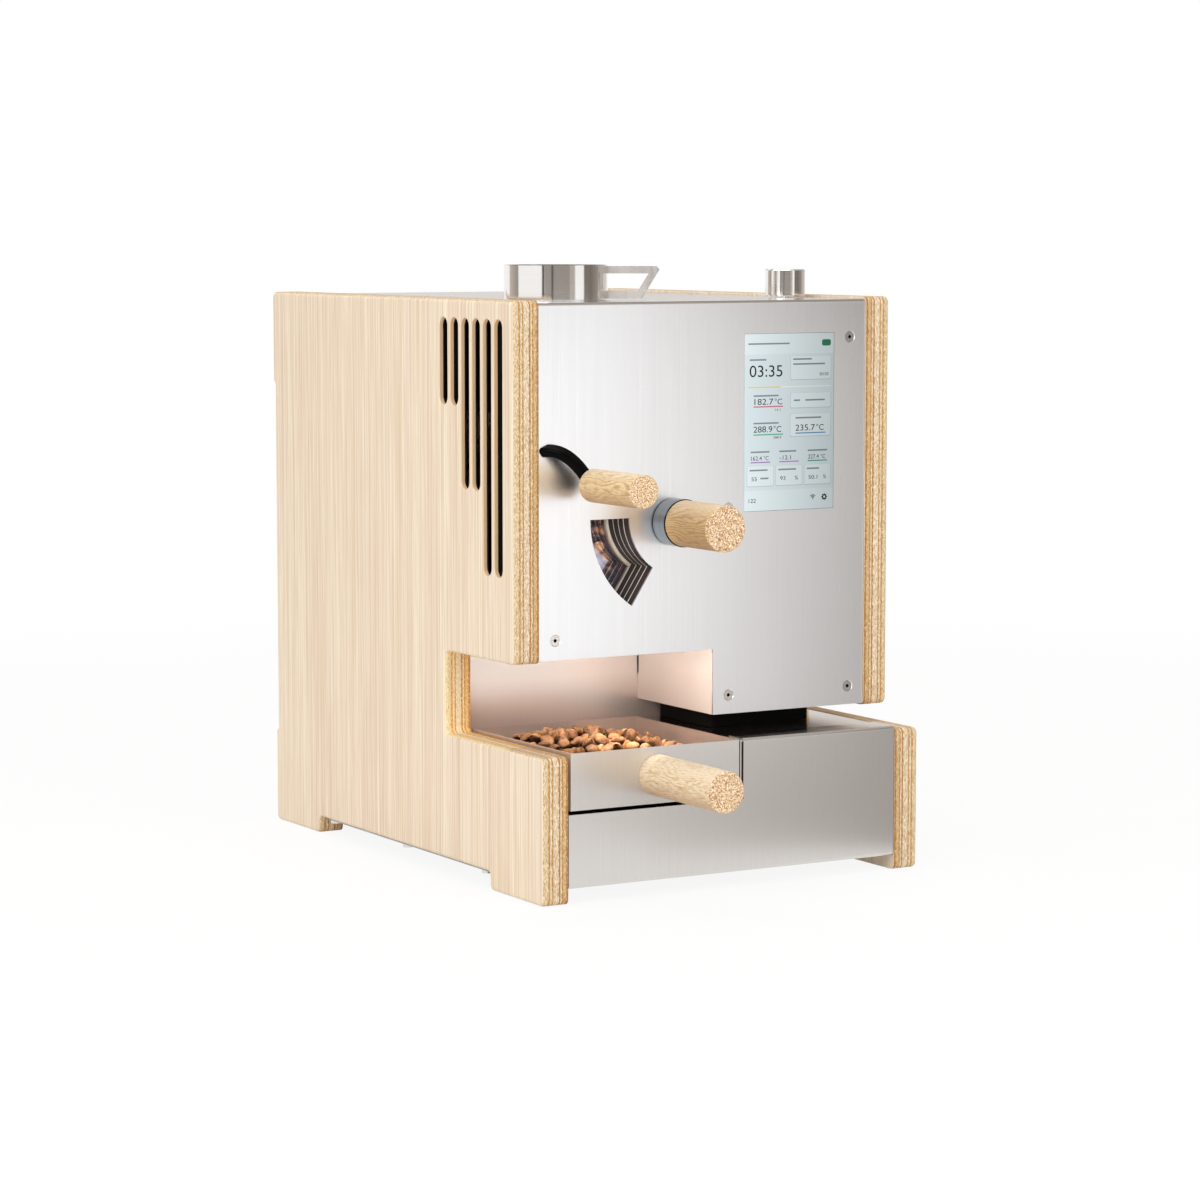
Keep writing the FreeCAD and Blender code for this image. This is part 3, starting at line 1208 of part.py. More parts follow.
def drum():
    """The drum: wall, rear disc with air holes, and twisted mixing vanes inside."""
    body = new_body("drum")
    x, z, wall = S.drum_x, S.drum_z, S.drum_wall
    outer = S.drum_radius + wall
    _, sketch = turned(body, "Y", (x, z), ring(S.drum_radius, outer, DRUM_FRONT, DRUM_REAR))
    turned(body, "Y", (x, z), ring(S.shaft_radius + S.seat_gap, S.drum_radius,
                                   DRUM_REAR - wall, DRUM_REAR))
    hole = pocket(body, "XZ", DRUM_REAR - wall,
                  [(x + S.drum_hole_circle, z, S.drum_hole)], wall)
    polar(body, [hole], sketch, S.drum_hole_count)
    start, end = DRUM_FRONT + S.vane_margin, DRUM_REAR - wall
    sections = []
    for index in range(VANE_STEPS + 1):
        place = start + (end - start) * index / VANE_STEPS
        section = sketch_on(body, "XZ", level("XZ", place))
        draw(section, vane_section(S.vane_twist * index))
        section.Visibility = False
        sections.append(section)
    DOC.recompute()
    vane = body.newObject("PartDesign::AdditiveLoft", "Vane")
    vane.Profile = sections[0]
    vane.Sections = sections[1:]
    vane.Ruled = True
    DOC.recompute()
    polar(body, [vane], sketch, S.vane_count)
    return body


def drum_shaft():
    """The drum's shaft with the flange that carries the drum."""
    body = new_body("drum_shaft")
    turned(body, "Y", (S.drum_x, S.drum_z),
           [(0, DRUM_REAR - S.drum_wall), (S.shaft_radius, DRUM_REAR - S.drum_wall),
            (S.shaft_radius, DRUM_REAR), (S.shaft_hub, DRUM_REAR),
            (S.shaft_hub, DRUM_REAR + S.shaft_flange),
            (S.shaft_radius, DRUM_REAR + S.shaft_flange), (S.shaft_radius, GEAR_BACK),
            (0, GEAR_BACK)])
    return body


def gear(label, x, bore, teeth, first_gap):
    """A spur gear: a disc whose tooth gaps are cut one by one round the axis."""
    body = new_body(label)
    pitch = S.gear_module * teeth / 2
    tip = pitch + S.gear_module * S.tip_height
    root = pitch - S.gear_module * S.root_depth
    _, sketch = turned(body, "Y", (x, S.drum_z), ring(bore, tip, GEAR_FRONT, GEAR_BACK))
    half = (S.gear_module * math.pi / 2 + S.backlash / 2) / 2
    slope = tangent(S.tooth_slope)
    over = tip + S.gear_module

    def corner(radius, side):
        width = (half + (radius - pitch) * slope) * side
        along, across = cosine(term(first_gap)), sine(term(first_gap))
        return (x + radius * along - width * across,
                S.drum_z + radius * across + width * along)

    gap = [corner(root, -1), corner(over, -1), corner(over, 1), corner(root, 1)]
    cut = pocket(body, "XZ", GEAR_FRONT, [gap], S.gear_width)
    polar(body, [cut], sketch, teeth)
    return body


def drum_gear():
    return gear("drum_gear", S.drum_x, S.shaft_radius + S.seat_gap, S.gear_teeth, 0.0)


def motor_pinion():
    """The motor's pinion with its shaft, in mesh with the drum gear."""
    body = gear("motor_pinion", MOTOR_X, 0, S.pinion_teeth, FULL_TURN / 2 / S.pinion_teeth.value)
    turned(body, "Y", (MOTOR_X, S.drum_z),
           ring(0, S.motor_shaft, GEAR_FRONT, DRIVE + S.drive_sheet + S.gear_width))
    return body


def drum_motor():
    """The geared motor behind the drive bracket."""
    body = new_body("drum_motor")
    start = DRIVE + S.drive_sheet
    end = start + S.motor_length
    bore = S.motor_shaft + S.running_gap
    neck = start + S.gearbox_length
    drive_end = start + S.gear_width + S.drive_sheet
    turned(body, "Y", (MOTOR_X, S.drum_z),
           [(bore, start), (S.motor_radius, start), (S.motor_radius, neck),
            (S.motor_radius - S.gearbox_rim, neck), (S.motor_radius - S.gearbox_rim, end),
            (0, end), (0, drive_end), (bore, drive_end)])
    return body


def drive_bracket():
    """The upright bracket that carries the drum motor and steadies the air heater."""
    body = new_body("drive_bracket")
    pad(body, "XZ", DRIVE, [rectangle(-S.drive_left, FLOOR_TOP, -S.drive_right,
                                      S.drive_top)], S.drive_sheet)
    shaft = (MOTOR_X, S.drum_z, S.motor_shaft * 2)
    heater = (S.heater_x, S.heater_z, S.heater_radius + S.seat_gap)
    pocket(body, "XZ", DRIVE, [shaft, heater], S.drive_sheet)
    pad(body, "XY", FLOOR_TOP, [rectangle(-S.drive_left, DRIVE, -S.drive_right,
                                          DRIVE + S.drive_foot)], S.drive_sheet)
    return body


# ---------------------------------------------------------------- air

def air_heater():
    """The heater: a tube with a ribbed ceramic core that the drum's air is drawn through."""
    body = new_body("air_heater")
    centre = (S.heater_x, S.heater_z)
    start, end = CHAMBER_REAR, CHAMBER_REAR + S.heater_length
    inner = S.heater_radius - S.drum_wall
    turned(body, "Y", centre, ring(inner, S.heater_radius, start, end))
    inset = S.heater_core
    _, sketch = turned(body, "Y", centre, ring(0, S.heater_core, start + inset, end - inset))
    rib = pad(body, "XZ", start + inset,
              [rectangle(S.heater_x, S.heater_z - S.heater_rib / 2,
                         S.heater_x + inner + S.drum_wall / 2,
                         S.heater_z + S.heater_rib / 2)], end - start - inset * 2)
    polar(body, [rib], sketch, S.heater_ribs)
    return body


def cyclone():
    """The chaff cyclone with its tangential duct from the jacket."""
    body = new_body("cyclone")
    centre = (S.cyclone_x, FACE + S.cyclone_y)
    wall, radius, neck = S.drum_wall, S.cyclone_radius, S.cyclone_neck
    start = FACE + S.cross_duct_y
    outer = rectangle(start - wall, S.cross_duct_low - wall,
                      start + S.cross_duct_width + wall,
                      S.cross_duct_low + S.cross_duct_height + wall)
    reach = S.drum_x + JACKET_IN / 2
    pad(body, "YZ", reach, [outer], S.cyclone_x - reach)
    turned(body, "Y", (S.drum_x, S.drum_z),
           ring(0, JACKET_OUT + S.seat_gap, start - wall * 2,
                start + S.cross_duct_width + wall * 2), "Groove")
    top = S.cyclone_top
    turned(body, "Z", centre,
           [(0, S.plate_bottom), (neck, S.plate_bottom), (neck, S.cyclone_neck_top),
            (radius, S.cyclone_cone), (radius, top), (0, top)])
    pipe = S.pipe_radius + S.seat_gap
    turned(body, "Z", centre,
           [(0, S.plate_bottom), (neck - wall, S.plate_bottom),
            (neck - wall, S.cyclone_neck_top), (radius - wall, S.cyclone_cone),
            (radius - wall, top - wall), (pipe, top - wall), (pipe, top), (0, top)],
           "Groove")
    inner = rectangle(start, S.cross_duct_low, start + S.cross_duct_width,
                      S.cross_duct_low + S.cross_duct_height)
    pocket(body, "YZ", reach, [inner], S.cyclone_x - reach)
    return body


def exhaust_duct():
    """The pipe from the cyclone up and back to the blower."""
    body = new_body("exhaust_duct")
    low = S.cyclone_top - S.pipe_dip
    start, end = FACE + S.cyclone_y, BLOWER_FRONT + S.blower_wall
    spine = sketch_on(body, "YZ", level("YZ", S.cyclone_x))
    corner = V(start.value, S.blower_z.value, 0)
    bend_low, bend_end = S.blower_z - S.pipe_bend, start + S.pipe_bend
    up = spine.addGeometry(Part.LineSegment(V(start.value, low.value, 0),
                                            V(corner.x, bend_low.value, 0)))
    turn = spine.addGeometry(arc_edge(V(bend_end.value, corner.y, 0),
                                      V(corner.x, bend_low.value, 0), S.pipe_bend.value, 1))
    along = spine.addGeometry(Part.LineSegment(V(bend_end.value, corner.y, 0),
                                               V(end.value, corner.y, 0)))
    spine.addConstraint([Sketcher.Constraint("Coincident", up, 2, turn, 2),
                         Sketcher.Constraint("Coincident", turn, 1, along, 1)])
    constrain_point(spine, up, 1, (start, low))
    constrain_point(spine, up, 2, (start, bend_low))
    constrain_point(spine, along, 1, (bend_end, S.blower_z))
    constrain_point(spine, along, 2, (end, S.blower_z))
    tie(spine, spine.addConstraint(
        Sketcher.Constraint("Radius", turn, S.pipe_bend.value)), S.pipe_bend)
    section = sketch_on(body, "XY", (0, 0, low))
    for radius in (S.pipe_radius, S.pipe_radius - S.pipe_wall):
        draw_circle(section, (S.cyclone_x, start), radius)
    DOC.recompute()
    pipe = body.newObject("PartDesign::AdditivePipe", "Pipe")
    pipe.Profile = section
    pipe.Spine = spine
    DOC.recompute()
    return body


def blower_housing():
    """The exhaust blower's housing, with its outlet turned up and out at the back."""
    body = new_body("blower_housing")
    x, z, radius, wall = S.cyclone_x, S.blower_z, S.blower_radius, S.blower_wall
    left, right = x + radius - S.chimney_width, x + radius
    depth = S.blower_depth
    pad(body, "XZ", BLOWER_FRONT, [(x, z, radius)], depth)
    pad(body, "XZ", BLOWER_FRONT, [rectangle(left, z, right, S.chimney_top)], depth)
    inner = BLOWER_FRONT + wall
    pocket(body, "XZ", inner, [(x, z, radius - wall)], depth - wall * 2)
    pocket(body, "XZ", inner, [rectangle(left + wall, z, right - wall,
                                         S.chimney_top - wall)], depth - wall * 2)
    mouth_low = S.chimney_top - wall - S.chimney_mouth
    pocket(body, "XZ", BACK - wall, [rectangle(left + wall, mouth_low, right - wall,
                                               S.chimney_top - wall)], wall)
    pocket(body, "XZ", BLOWER_FRONT, [(x, z, S.pipe_radius + S.seat_gap)], wall)
    turned(body, "Y", (x, z), ring(0, S.spindle_radius, BACK - depth / 2, BACK - wall))
    return body


def blower_impeller():
    """The blower's impeller: a disc and hub with leaning blades."""
    body = new_body("blower_impeller")
    x, z = S.cyclone_x, S.blower_z
    front = BLOWER_FRONT + S.blower_wall + S.impeller_gap
    back = BACK - S.blower_wall - S.impeller_gap
    disc = back - S.impeller_disc
    _, sketch = turned(body, "Y", (x, z), ring(S.spindle_radius + S.running_gap,
                                               S.impeller_radius, disc, back))
    turned(body, "Y", (x, z), ring(0, S.impeller_hub, front, disc))
    turned(body, "Y", (x, z), ring(0, S.spindle_radius + S.running_gap,
                                   BACK - S.blower_depth / 2 - S.rotor_gap, back),
           "Groove")
    root, tip = S.impeller_blade_root, S.impeller_radius
    lean, thick = S.impeller_lean, S.impeller_blade
    end = x + tip - S.impeller_margin
    blade = [(x + root, z), (end, z + lean), (end, z + lean + thick), (x + root, z + thick)]
    vane = pad(body, "XZ", front, [blade], disc - front)
    polar(body, [vane], sketch, S.impeller_blades)
    return body


def cooling_fan_frame():
    """The square frame of the cooling fan behind the bulkhead, with hub and struts."""
    body = new_body("cooling_fan_frame")
    x, z, half = S.fan_x, fan_z(), S.fan_side / 2
    front = FACE + S.niche_depth + S.liner
    back = front + S.fan_depth
    square = rectangle(x - half, z - half, x + half, z + half)
    pad(body, "XZ", front, [square, (x, z, S.fan_bore)], S.fan_depth)
    _, sketch = turned(body, "Y", (x, z), ring(0, S.fan_hub, back - S.fan_strut, back))
    turned(body, "Y", (x, z), ring(0, S.spindle_radius, front + S.fan_strut,
                                   back - S.fan_strut))
    strut = pad(body, "XZ", back - S.fan_strut,
                [rectangle(x, z - S.fan_strut / 2, x + S.fan_bore + S.fan_tip_gap,
                           z + S.fan_strut / 2)], S.fan_strut)
    polar(body, [strut], sketch, S.fan_struts)
    return body


def cooling_fan_rotor():
    """The cooling fan's hub with its blades."""
    body = new_body("cooling_fan_rotor")
    x, z = S.fan_x, fan_z()
    front = FACE + S.niche_depth + S.liner + S.fan_tip_gap
    back = front + S.fan_depth - S.fan_strut - S.fan_tip_gap * 2
    _, sketch = turned(body, "Y", (x, z), ring(0, S.fan_hub, front, back))
    turned(body, "Y", (x, z), ring(0, S.spindle_radius + S.running_gap, front + S.fan_strut
                                   - S.fan_tip_gap * 2, back), "Groove")
    half, lean = S.fan_blade / 2, S.fan_sweep / 2
    blade = [(x - lean - half, front), (x - lean + half, front),
             (x + lean + half, back), (x + lean - half, back)]
    tip = S.fan_bore - S.fan_tip_gap - S.fan_blade
    vane = pad(body, "XY", z + S.fan_hub - S.fan_blade, [blade],
               tip - S.fan_hub + S.fan_blade)
    polar(body, [vane], sketch, S.fan_blades)
    return body


# ---------------------------------------------------------------- window and display

def window_stack(label, first, thickness, count):
    """Sector rings stacked behind the window, one for each pitch of spacer and shim."""
    body = new_body(label)
    pitch = S.spacer + S.shim
    for index in range(round(count.value)):
        pad(body, "XZ", first + pitch * index,
            [window_sector(margin=S.window_margin, angle=S.window_margin_angle),
             window_sector()], thickness)
    return body


def window_spacers():
    """The dark spacers behind the window."""
    return window_stack("window_spacers", FACE + S.sheet, S.spacer, S.spacer_count)


def window_shims():
    """The light shims between the dark spacers."""
    return window_stack("window_shims", FACE + S.sheet + S.spacer, S.shim,
                        S.spacer_count - 1)


def window_frame():
    """The light frame round the sight glass, a little narrower than the window."""
    body = new_body("window_frame")
    start = FACE + S.sheet + S.spacer * S.spacer_count + S.shim * (S.spacer_count - 1)
    pad(body, "XZ", start,
        [window_sector(margin=S.window_margin, angle=S.window_margin_angle),
         window_sector(inset=S.frame_inset)], S.frame_thickness)
    return body


def sight_glass():
    """The heat-proof glass between the window frame and the chamber."""
    body = new_body("sight_glass")
    start = (FACE + S.sheet + S.spacer * S.spacer_count + S.shim * (S.spacer_count - 1)
             + S.frame_thickness)
    pad(body, "XZ", start,
        [window_sector(margin=S.window_margin, angle=S.window_margin_angle)],
        CHAMBER - start)
    return body


def display_panel():
    """The glass of the touch screen, just behind the plate's face."""
    body = new_body("display_panel")
    gap = S.screen_gap
    pad(body, "XZ", FACE + gap,
        [rectangle(S.screen_left + gap, S.screen_bottom + gap, S.screen_right - gap,
                   S.screen_top - gap)], S.screen_glass)
    return body


def display_module():
    """The display's housing behind the glass."""
    body = new_body("display_module")
    rim, start = S.module_rim, FACE + S.screen_gap + S.screen_glass
    pad(body, "XZ", start,
        [rectangle(S.screen_left - rim, S.screen_bottom - rim, S.screen_right + rim,
                   S.screen_top + rim)], S.module_depth)
    return body


def control_board():
    """The control board, on posts at the cabinet's right wall, with its larger parts."""
    body = new_body("control_board")
    face = HALF - S.board_post - S.board_sheet
    front, low = FACE + S.board_front, S.board_bottom
    back, high = front + S.board_length, low + S.board_height
    pad(body, "YZ", face, [rectangle(front, low, back, high)], S.board_sheet)
    inset = S.board_inset
    posts = [(y, z, S.board_post_radius) for y in (front + inset, back - inset)
             for z in (low + inset, high - inset)]
    pad(body, "YZ", face + S.board_sheet, posts, S.board_post)
    side, step = S.chip_side, S.chip_side + S.board_inset
    under = low + S.chip_rise
    parts = [rectangle(front + inset + step * index, under,
                       front + inset + step * index + side, under + side)
             for index in range(S.chip_count.value)]
    pad(body, "YZ", face - S.chip_height, parts, S.chip_height)
    return body


# ---------------------------------------------------------------- bean inlet and knob

def inlet_flange():
    """The fixed flange under the cover, with the hole that the cup's hole turns over."""
    body = new_body("inlet_flange")
    centre = (S.cup_x, FACE + S.cup_y)
    top, low = COVER_UNDER, COVER_UNDER - S.flange_sheet
    turned(body, "Z", centre, ring(0, S.flange_radius, low, top))
    hole = (S.cup_x + S.cup_hole_offset, FACE + S.cup_y, S.cup_hole)
    pocket(body, "XY", low, [hole], S.flange_sheet)
    return body


def inlet_cup():
    """The turning inlet cup; at rest its bean hole stands a quarter turn from open."""
    body = new_body("inlet_cup")
    centre = (S.cup_x, FACE + S.cup_y)
    low, rest = COVER_UNDER + S.cup_gap, S.plate_top + S.cup_gap
    top, radius, wall = S.plate_top + S.cup_height, S.cup_radius, S.cup_wall
    floor = low + S.cup_floor
    turned(body, "Z", centre,
           [(0, low), (S.cup_spigot, low), (S.cup_spigot, rest), (radius, rest),
            (radius, top), (radius - wall, top), (radius - wall, rest + wall),
            (S.cup_spigot - wall, floor), (0, floor)])
    hole = (S.cup_x, FACE + S.cup_y + S.cup_hole_offset, S.cup_hole)
    pocket(body, "XY", low, [hole], S.cup_floor)
    return body


def cup_handle():
    """The flat loop handle that stands out from the cup."""
    body = new_body("cup_handle")
    low, high = S.plate_top + S.loop_clear, S.plate_top + S.cup_height - S.loop_drop
    wall, bar, bevel = S.cup_radius - S.cup_wall / 2, S.loop_bar, S.loop_bevel
    top, foot = S.cup_radius + S.loop_top, S.cup_radius + S.loop_foot
    lean = (top - foot) / (high - bevel - low)
    under, over = low + bar, high - bar
    outline = [(wall, low), (foot, low), (top, high - bevel), (top - bevel, high),
               (wall, high), (wall, over), (foot - S.loop_post + lean * (over - low), over),
               (foot - S.loop_post + lean * bar, under), (wall, under)]
    turn = S.loop_angle
    middle_x, middle_y = S.cup_x, FACE + S.cup_y
    half = S.loop_sheet / 2
    base = (middle_x + half * sine(turn), 0, -middle_y + half * cosine(turn))
    pad(body, "XZ", FACE, [outline], S.loop_sheet, turn=turn, offset=base)
    turned(body, "Z", (middle_x, middle_y),
           ring(0, S.cup_radius, S.plate_top, S.plate_top + S.cup_height), "Groove")
    return body


def inlet_chute():
    """The chute from under the flange to the bean hole in the chamber front."""
    body = new_body("inlet_chute")
    middle = S.cup_x + S.cup_hole_offset
    half, wall = S.chute_width / 2, S.liner
    front, shaft_back = FACE + S.chute_front, CHAMBER - S.sheet_gap
    top = COVER_UNDER - S.flange_sheet
    mouth_back = FACE + S.cup_y + S.chute_mouth / 2
    mouth_front = FACE + S.cup_y - S.chute_mouth / 2
    low, drop = S.chute_low, S.chute_drop
    step = top - S.chute_rise
    outer = [(front, low), (shaft_back, low), (shaft_back, drop - S.chute_rise),
             (mouth_back, step), (mouth_back, top), (mouth_front, top), (mouth_front, step),
             (front, drop)]
    inner = [(front + wall, low + wall), (shaft_back, low + wall),
             (shaft_back, drop - S.chute_rise + wall * 2), (mouth_back - wall, step + wall),
             (mouth_back - wall, top), (mouth_front + wall, top),
             (mouth_front + wall, step - wall / 2), (front + wall, drop - wall / 2)]
    pad(body, "YZ", middle - half, [outer], S.chute_width)
    pocket(body, "YZ", middle - half + wall, [inner], S.chute_width - wall * 2)
    pad(body, "XZ", shaft_back - wall,
        [rectangle(middle - half, S.inlet_z + S.inlet_hole, middle + half,
                   drop - S.chute_rise + wall * 2)], wall)
    return body


def encoder_body():
    """The encoder's case under the cover, with its neck through the cover."""
    body = new_body("encoder_body")
    x, y, half = S.knob_x, FACE + S.knob_y, S.encoder_side / 2
    low = COVER_UNDER - S.encoder_depth
    pad(body, "XY", low, [rectangle(x - half, y - half, x + half, y + half)],
        S.encoder_depth)
    turned(body, "Z", (x, y), ring(0, S.encoder_neck, COVER_UNDER, S.plate_top))
    floor, rotor = low + S.encoder_floor, low + S.rotor_lift
    room_low, room_high = rotor - S.rotor_gap, rotor + S.rotor_height + S.rotor_gap
    shaft, room = S.knob_shaft + S.running_gap, S.encoder_bore + S.running_gap
    turned(body, "Z", (x, y),
           [(0, floor), (shaft, floor), (shaft, room_low), (room, room_low),
            (room, room_high), (shaft, room_high), (shaft, S.plate_top), (0, S.plate_top)],
           "Groove")
    return body


def encoder_rotor():
    """The ring inside the encoder that turns with the knob."""
    body = new_body("encoder_rotor")
    low = COVER_UNDER - S.encoder_depth + S.rotor_lift
    turned(body, "Z", (S.knob_x, FACE + S.knob_y),
           ring(S.knob_shaft + S.running_gap, S.encoder_bore, low, low + S.rotor_height))
    return body


def control_knob():
    """The turned knob with its shaft."""
    body = new_body("control_knob")
    radius, bevel, shaft = S.knob_radius, S.knob_bevel, S.knob_shaft
    low = S.plate_top + S.knob_gap
    high = low + S.knob_height
    end = COVER_UNDER - S.encoder_depth + S.rotor_lift - S.running_gap * 2
    turned(body, "Z", (S.knob_x, FACE + S.knob_y),
           [(0, end), (shaft, end), (shaft, low), (radius - bevel, low),
            (radius, low + bevel), (radius, high - bevel), (radius - bevel, high), (0, high)])
    return body


# ---------------------------------------------------------------- lever and bean gate

def crank_pin(x, z):
    """The place of a crank's pin, from the place of its pivot."""
    return (x + S.crank_length * cosine(S.crank_angle),
            z + S.crank_length * sine(S.crank_angle))


def root(size):
    return Term(f"sqrt({size.text})", math.sqrt(size.value))


def bar(start, end, width):
    """The four corners of a straight bar between two points."""
    across, up = end[0] - start[0], end[1] - start[1]
    share = width / (root(across * across + up * up) * 2)
    side_x, side_z = -(up * share), across * share
    return [(start[0] + side_x, start[1] + side_z), (start[0] - side_x, start[1] - side_z),
            (end[0] - side_x, end[1] - side_z), (end[0] + side_x, end[1] + side_z)]


def rounded_section(width, height, radius):
    """A rounded rectangle round the origin of the XY plane."""
    wide, tall = width / 2, height / 2
    box = Part.makeBox(width, height, radius, V(-wide, -tall, 0))
    upright = [edge for edge in box.Edges if runs_along(edge, "z")]
    rounded = box.makeFillet(radius, upright)
    face = [side for side in rounded.Faces if side.BoundBox.ZMax < NEVER]
    return face[0].OuterWire


def lever_arm():
    """The curved arm from the pivot out and down to the grip, with its tang."""
    width, height = S.arm_width.value, S.arm_height.value
    grip_x, grip_z = S.lever_x + S.lever_reach_x, S.lever_z - S.lever_reach_z
    out = (FACE - S.lever_out).value + height / 2
    start = V(S.lever_x.value, (FACE - S.sheet_gap).value, S.lever_z.value)
    elbow = V((S.lever_x + S.lever_elbow).value, out, (grip_z + S.lever_rise).value)
    end = V(grip_x.value, out, grip_z.value)
    curve = Part.BezierCurve()
    curve.setPoles([start, elbow, end])
    along = (elbow - start).normalize()
    normal = along.cross(end - elbow).normalize()
    behind = start - along * width
    spine = Part.Wire([Part.makeLine(behind, start), curve.toShape()])
    section = rounded_section(width, height, S.arm_round.value)
    section.Placement = FreeCAD.Placement(
        behind, FreeCAD.Rotation(normal, along.cross(normal), along, "ZXY"))
    arm = spine.makePipeShell([section], True, True)
    reach = S.panel_height.value
    front = (FACE - S.lever_out).value
    outside = Part.makeBox(reach, start.y - front, reach, V(-reach, front, start.z - reach / 2))
    boss = Part.makeCylinder(S.arm_boss.value, height, V(end.x, front, end.z), V(0, 1, 0))
    tang = Part.makeCylinder(S.tang_radius.value, S.tang_length.value + height / 2,
                             V(end.x, front + height / 2, end.z), V(0, -1, 0))
    feature = DOC.addObject("Part::Feature", "lever_arm")
    feature.Label = "lever_arm"
    feature.Shape = arm.common(outside).fuse([boss, tang]).removeSplitter()
    feature.Placement = FreeCAD.Placement()
    return feature


def crank(body, x, z, front):
    """A crank behind the link, with its pin through the link."""
    pin = crank_pin(x, z)
    pad(body, "XZ", front, [(x, z, S.crank_hub)], S.crank_sheet)
    pad(body, "XZ", front, [bar((x, z), pin, S.link_width)], S.crank_sheet)
    pad(body, "XZ", front, [pin + (S.link_width / 2,)], S.crank_sheet)
    pad(body, "XZ", LINK_FRONT, [pin + (S.link_pin,)], front - LINK_FRONT)


def lever_shaft():
    """The lever's shaft through the front plate, with its crank."""
    body = new_body("lever_shaft")
    start = FACE - S.sheet_gap
    pad(body, "XZ", start, [(S.lever_x, S.lever_z, S.pivot_radius)], CRANK_FRONT - start)
    crank(body, S.lever_x, S.lever_z, CRANK_FRONT)
    return body


def lever_grip():
    """The lever's wooden grip."""
    body = new_body("lever_grip")
    end = FACE - S.lever_out
    turned(body, "Y", (S.lever_x + S.lever_reach_x, S.lever_z - S.lever_reach_z),
           grip_outline(S.grip_radius, end - S.grip_length, end, S.grip_bevel,
                        S.tang_radius + S.seat_gap, S.tang_length + S.seat_gap))
    return body


def drop_link():
    """The knee-shaped link between the lever's crank and the gate's crank."""
    body = new_body("drop_link")
    first, last = crank_pin(S.lever_x, S.lever_z), crank_pin(S.gate_x, S.gate_z)
    knee = (S.link_knee_x, S.link_knee_z)
    pad(body, "XZ", LINK_FRONT, [bar(first, knee, S.link_width)], S.link_sheet)
    pad(body, "XZ", LINK_FRONT, [bar(knee, last, S.link_width)], S.link_sheet)
    for end in (first, knee, last):
        pad(body, "XZ", LINK_FRONT, [end + (S.link_width / 2,)], S.link_sheet)
    holes = [end + (S.link_pin + S.running_gap,) for end in (first, last)]
    pocket(body, "XZ", LINK_FRONT, holes, S.link_sheet)
    return body


def drop_gate():
    """The gate that closes the drop port, on its shaft with its crank."""
    body = new_body("drop_gate")
    port, pivot = (S.port_x, S.port_z), (S.gate_x, S.gate_z)
    pad(body, "XZ", GATE_FRONT, [port + (S.gate_radius,)], S.gate_sheet)
    pad(body, "XZ", GATE_FRONT, [bar(port, pivot, S.gate_arm)], S.gate_sheet)
    pad(body, "XZ", GATE_FRONT, [pivot + (S.gate_arm / 2,)], S.gate_sheet)
    pad(body, "XZ", CRANK_FRONT, [pivot + (S.gate_shaft,)],
        CHAMBER + S.chamber_sheet - CRANK_FRONT)
    crank(body, S.gate_x, S.gate_z, CRANK_FRONT)
    return body


# ---------------------------------------------------------------- trier

def trier_collar():
    """The trier's turning collar, with its spigot in the guide tube."""
    body = new_body("trier_collar")
    front, back = FACE - S.collar_length + S.sheet_gap, FACE - S.sheet_gap
    radius, bevel, bore = S.collar_radius, S.collar_bevel, S.trier_radius + S.trier_gap
    end = FACE + S.collar_spigot_length
    turned(body, "Y", (S.trier_x, S.trier_z),
           [(bore, front), (radius - bevel, front), (radius, front + bevel), (radius, back),
            (S.collar_spigot, back), (S.collar_spigot, end), (bore, end)])
    return body


def trier_scoop():
    """The trier: a rod with an open trough near its tip and a tang in its grip."""
    body = new_body("trier_scoop")
    x, z, radius = S.trier_x, S.trier_z, S.trier_radius
    start, end = FACE - S.collar_length, FACE + S.trier_depth
    tang = start - S.trier_tang_length
    turned(body, "Y", (x, z), [(0, tang), (S.trier_tang, tang), (S.trier_tang, start),
                               (radius, start), (radius, end - S.scoop_wall),
                               (radius - S.scoop_wall, end), (0, end)])
    inner, wide = radius - S.scoop_wall, radius + S.scoop_wall
    trough = [(x - inner, z, inner, 1), (x + inner, z), (x + wide, z), (x + wide, z + wide),
              (x - wide, z + wide), (x - wide, z)]
    pocket(body, "XZ", end - S.scoop_tip - S.scoop_length, [trough], S.scoop_length)
    return body


def trier_grip():
    """The trier's wooden grip."""
    body = new_body("trier_grip")
    end = FACE - S.collar_length
    turned(body, "Y", (S.trier_x, S.trier_z),
           grip_outline(S.trier_grip, end - S.trier_grip_length, end, S.grip_bevel,
                        S.trier_tang + S.seat_gap, S.trier_tang_length + S.seat_gap))
    return body


# ---------------------------------------------------------------- tray and drawer

def bean_tray():
    """The open bean tray with air slots in its floor."""
    body = new_body("bean_tray")
    wall, front = S.liner, FACE - S.fascia_reach
    left, right, back = -S.tray_left, S.tray_right, FACE + S.tray_rear
    height = S.tray_top - S.tray_bottom
    pad(body, "XY", S.tray_bottom, [rectangle(left, front, right, back)], height)
    pocket(body, "XY", S.tray_bottom + wall,
           [rectangle(left + wall, front + wall, right - wall, back - wall)], height - wall)
    columns, rows = S.tray_slot_columns, S.tray_slot_rows.value
    first = (left + right - S.tray_slot_pitch * (columns - 1) - S.tray_slot_width) / 2
    middle = (front + back) / 2
    slots = []
    for index in range(rows):
        row = middle + S.tray_row_pitch * (index - (rows - 1) / 2)
        low = row - S.tray_slot_length / 2
        slots.append(slot(first, low, first + S.tray_slot_width, low + S.tray_slot_length))
    cut = pocket(body, "XY", S.tray_bottom, slots, wall)
    linear(body, [cut], cut.Profile[0], "H_Axis", S.tray_slot_pitch, columns)
    return body


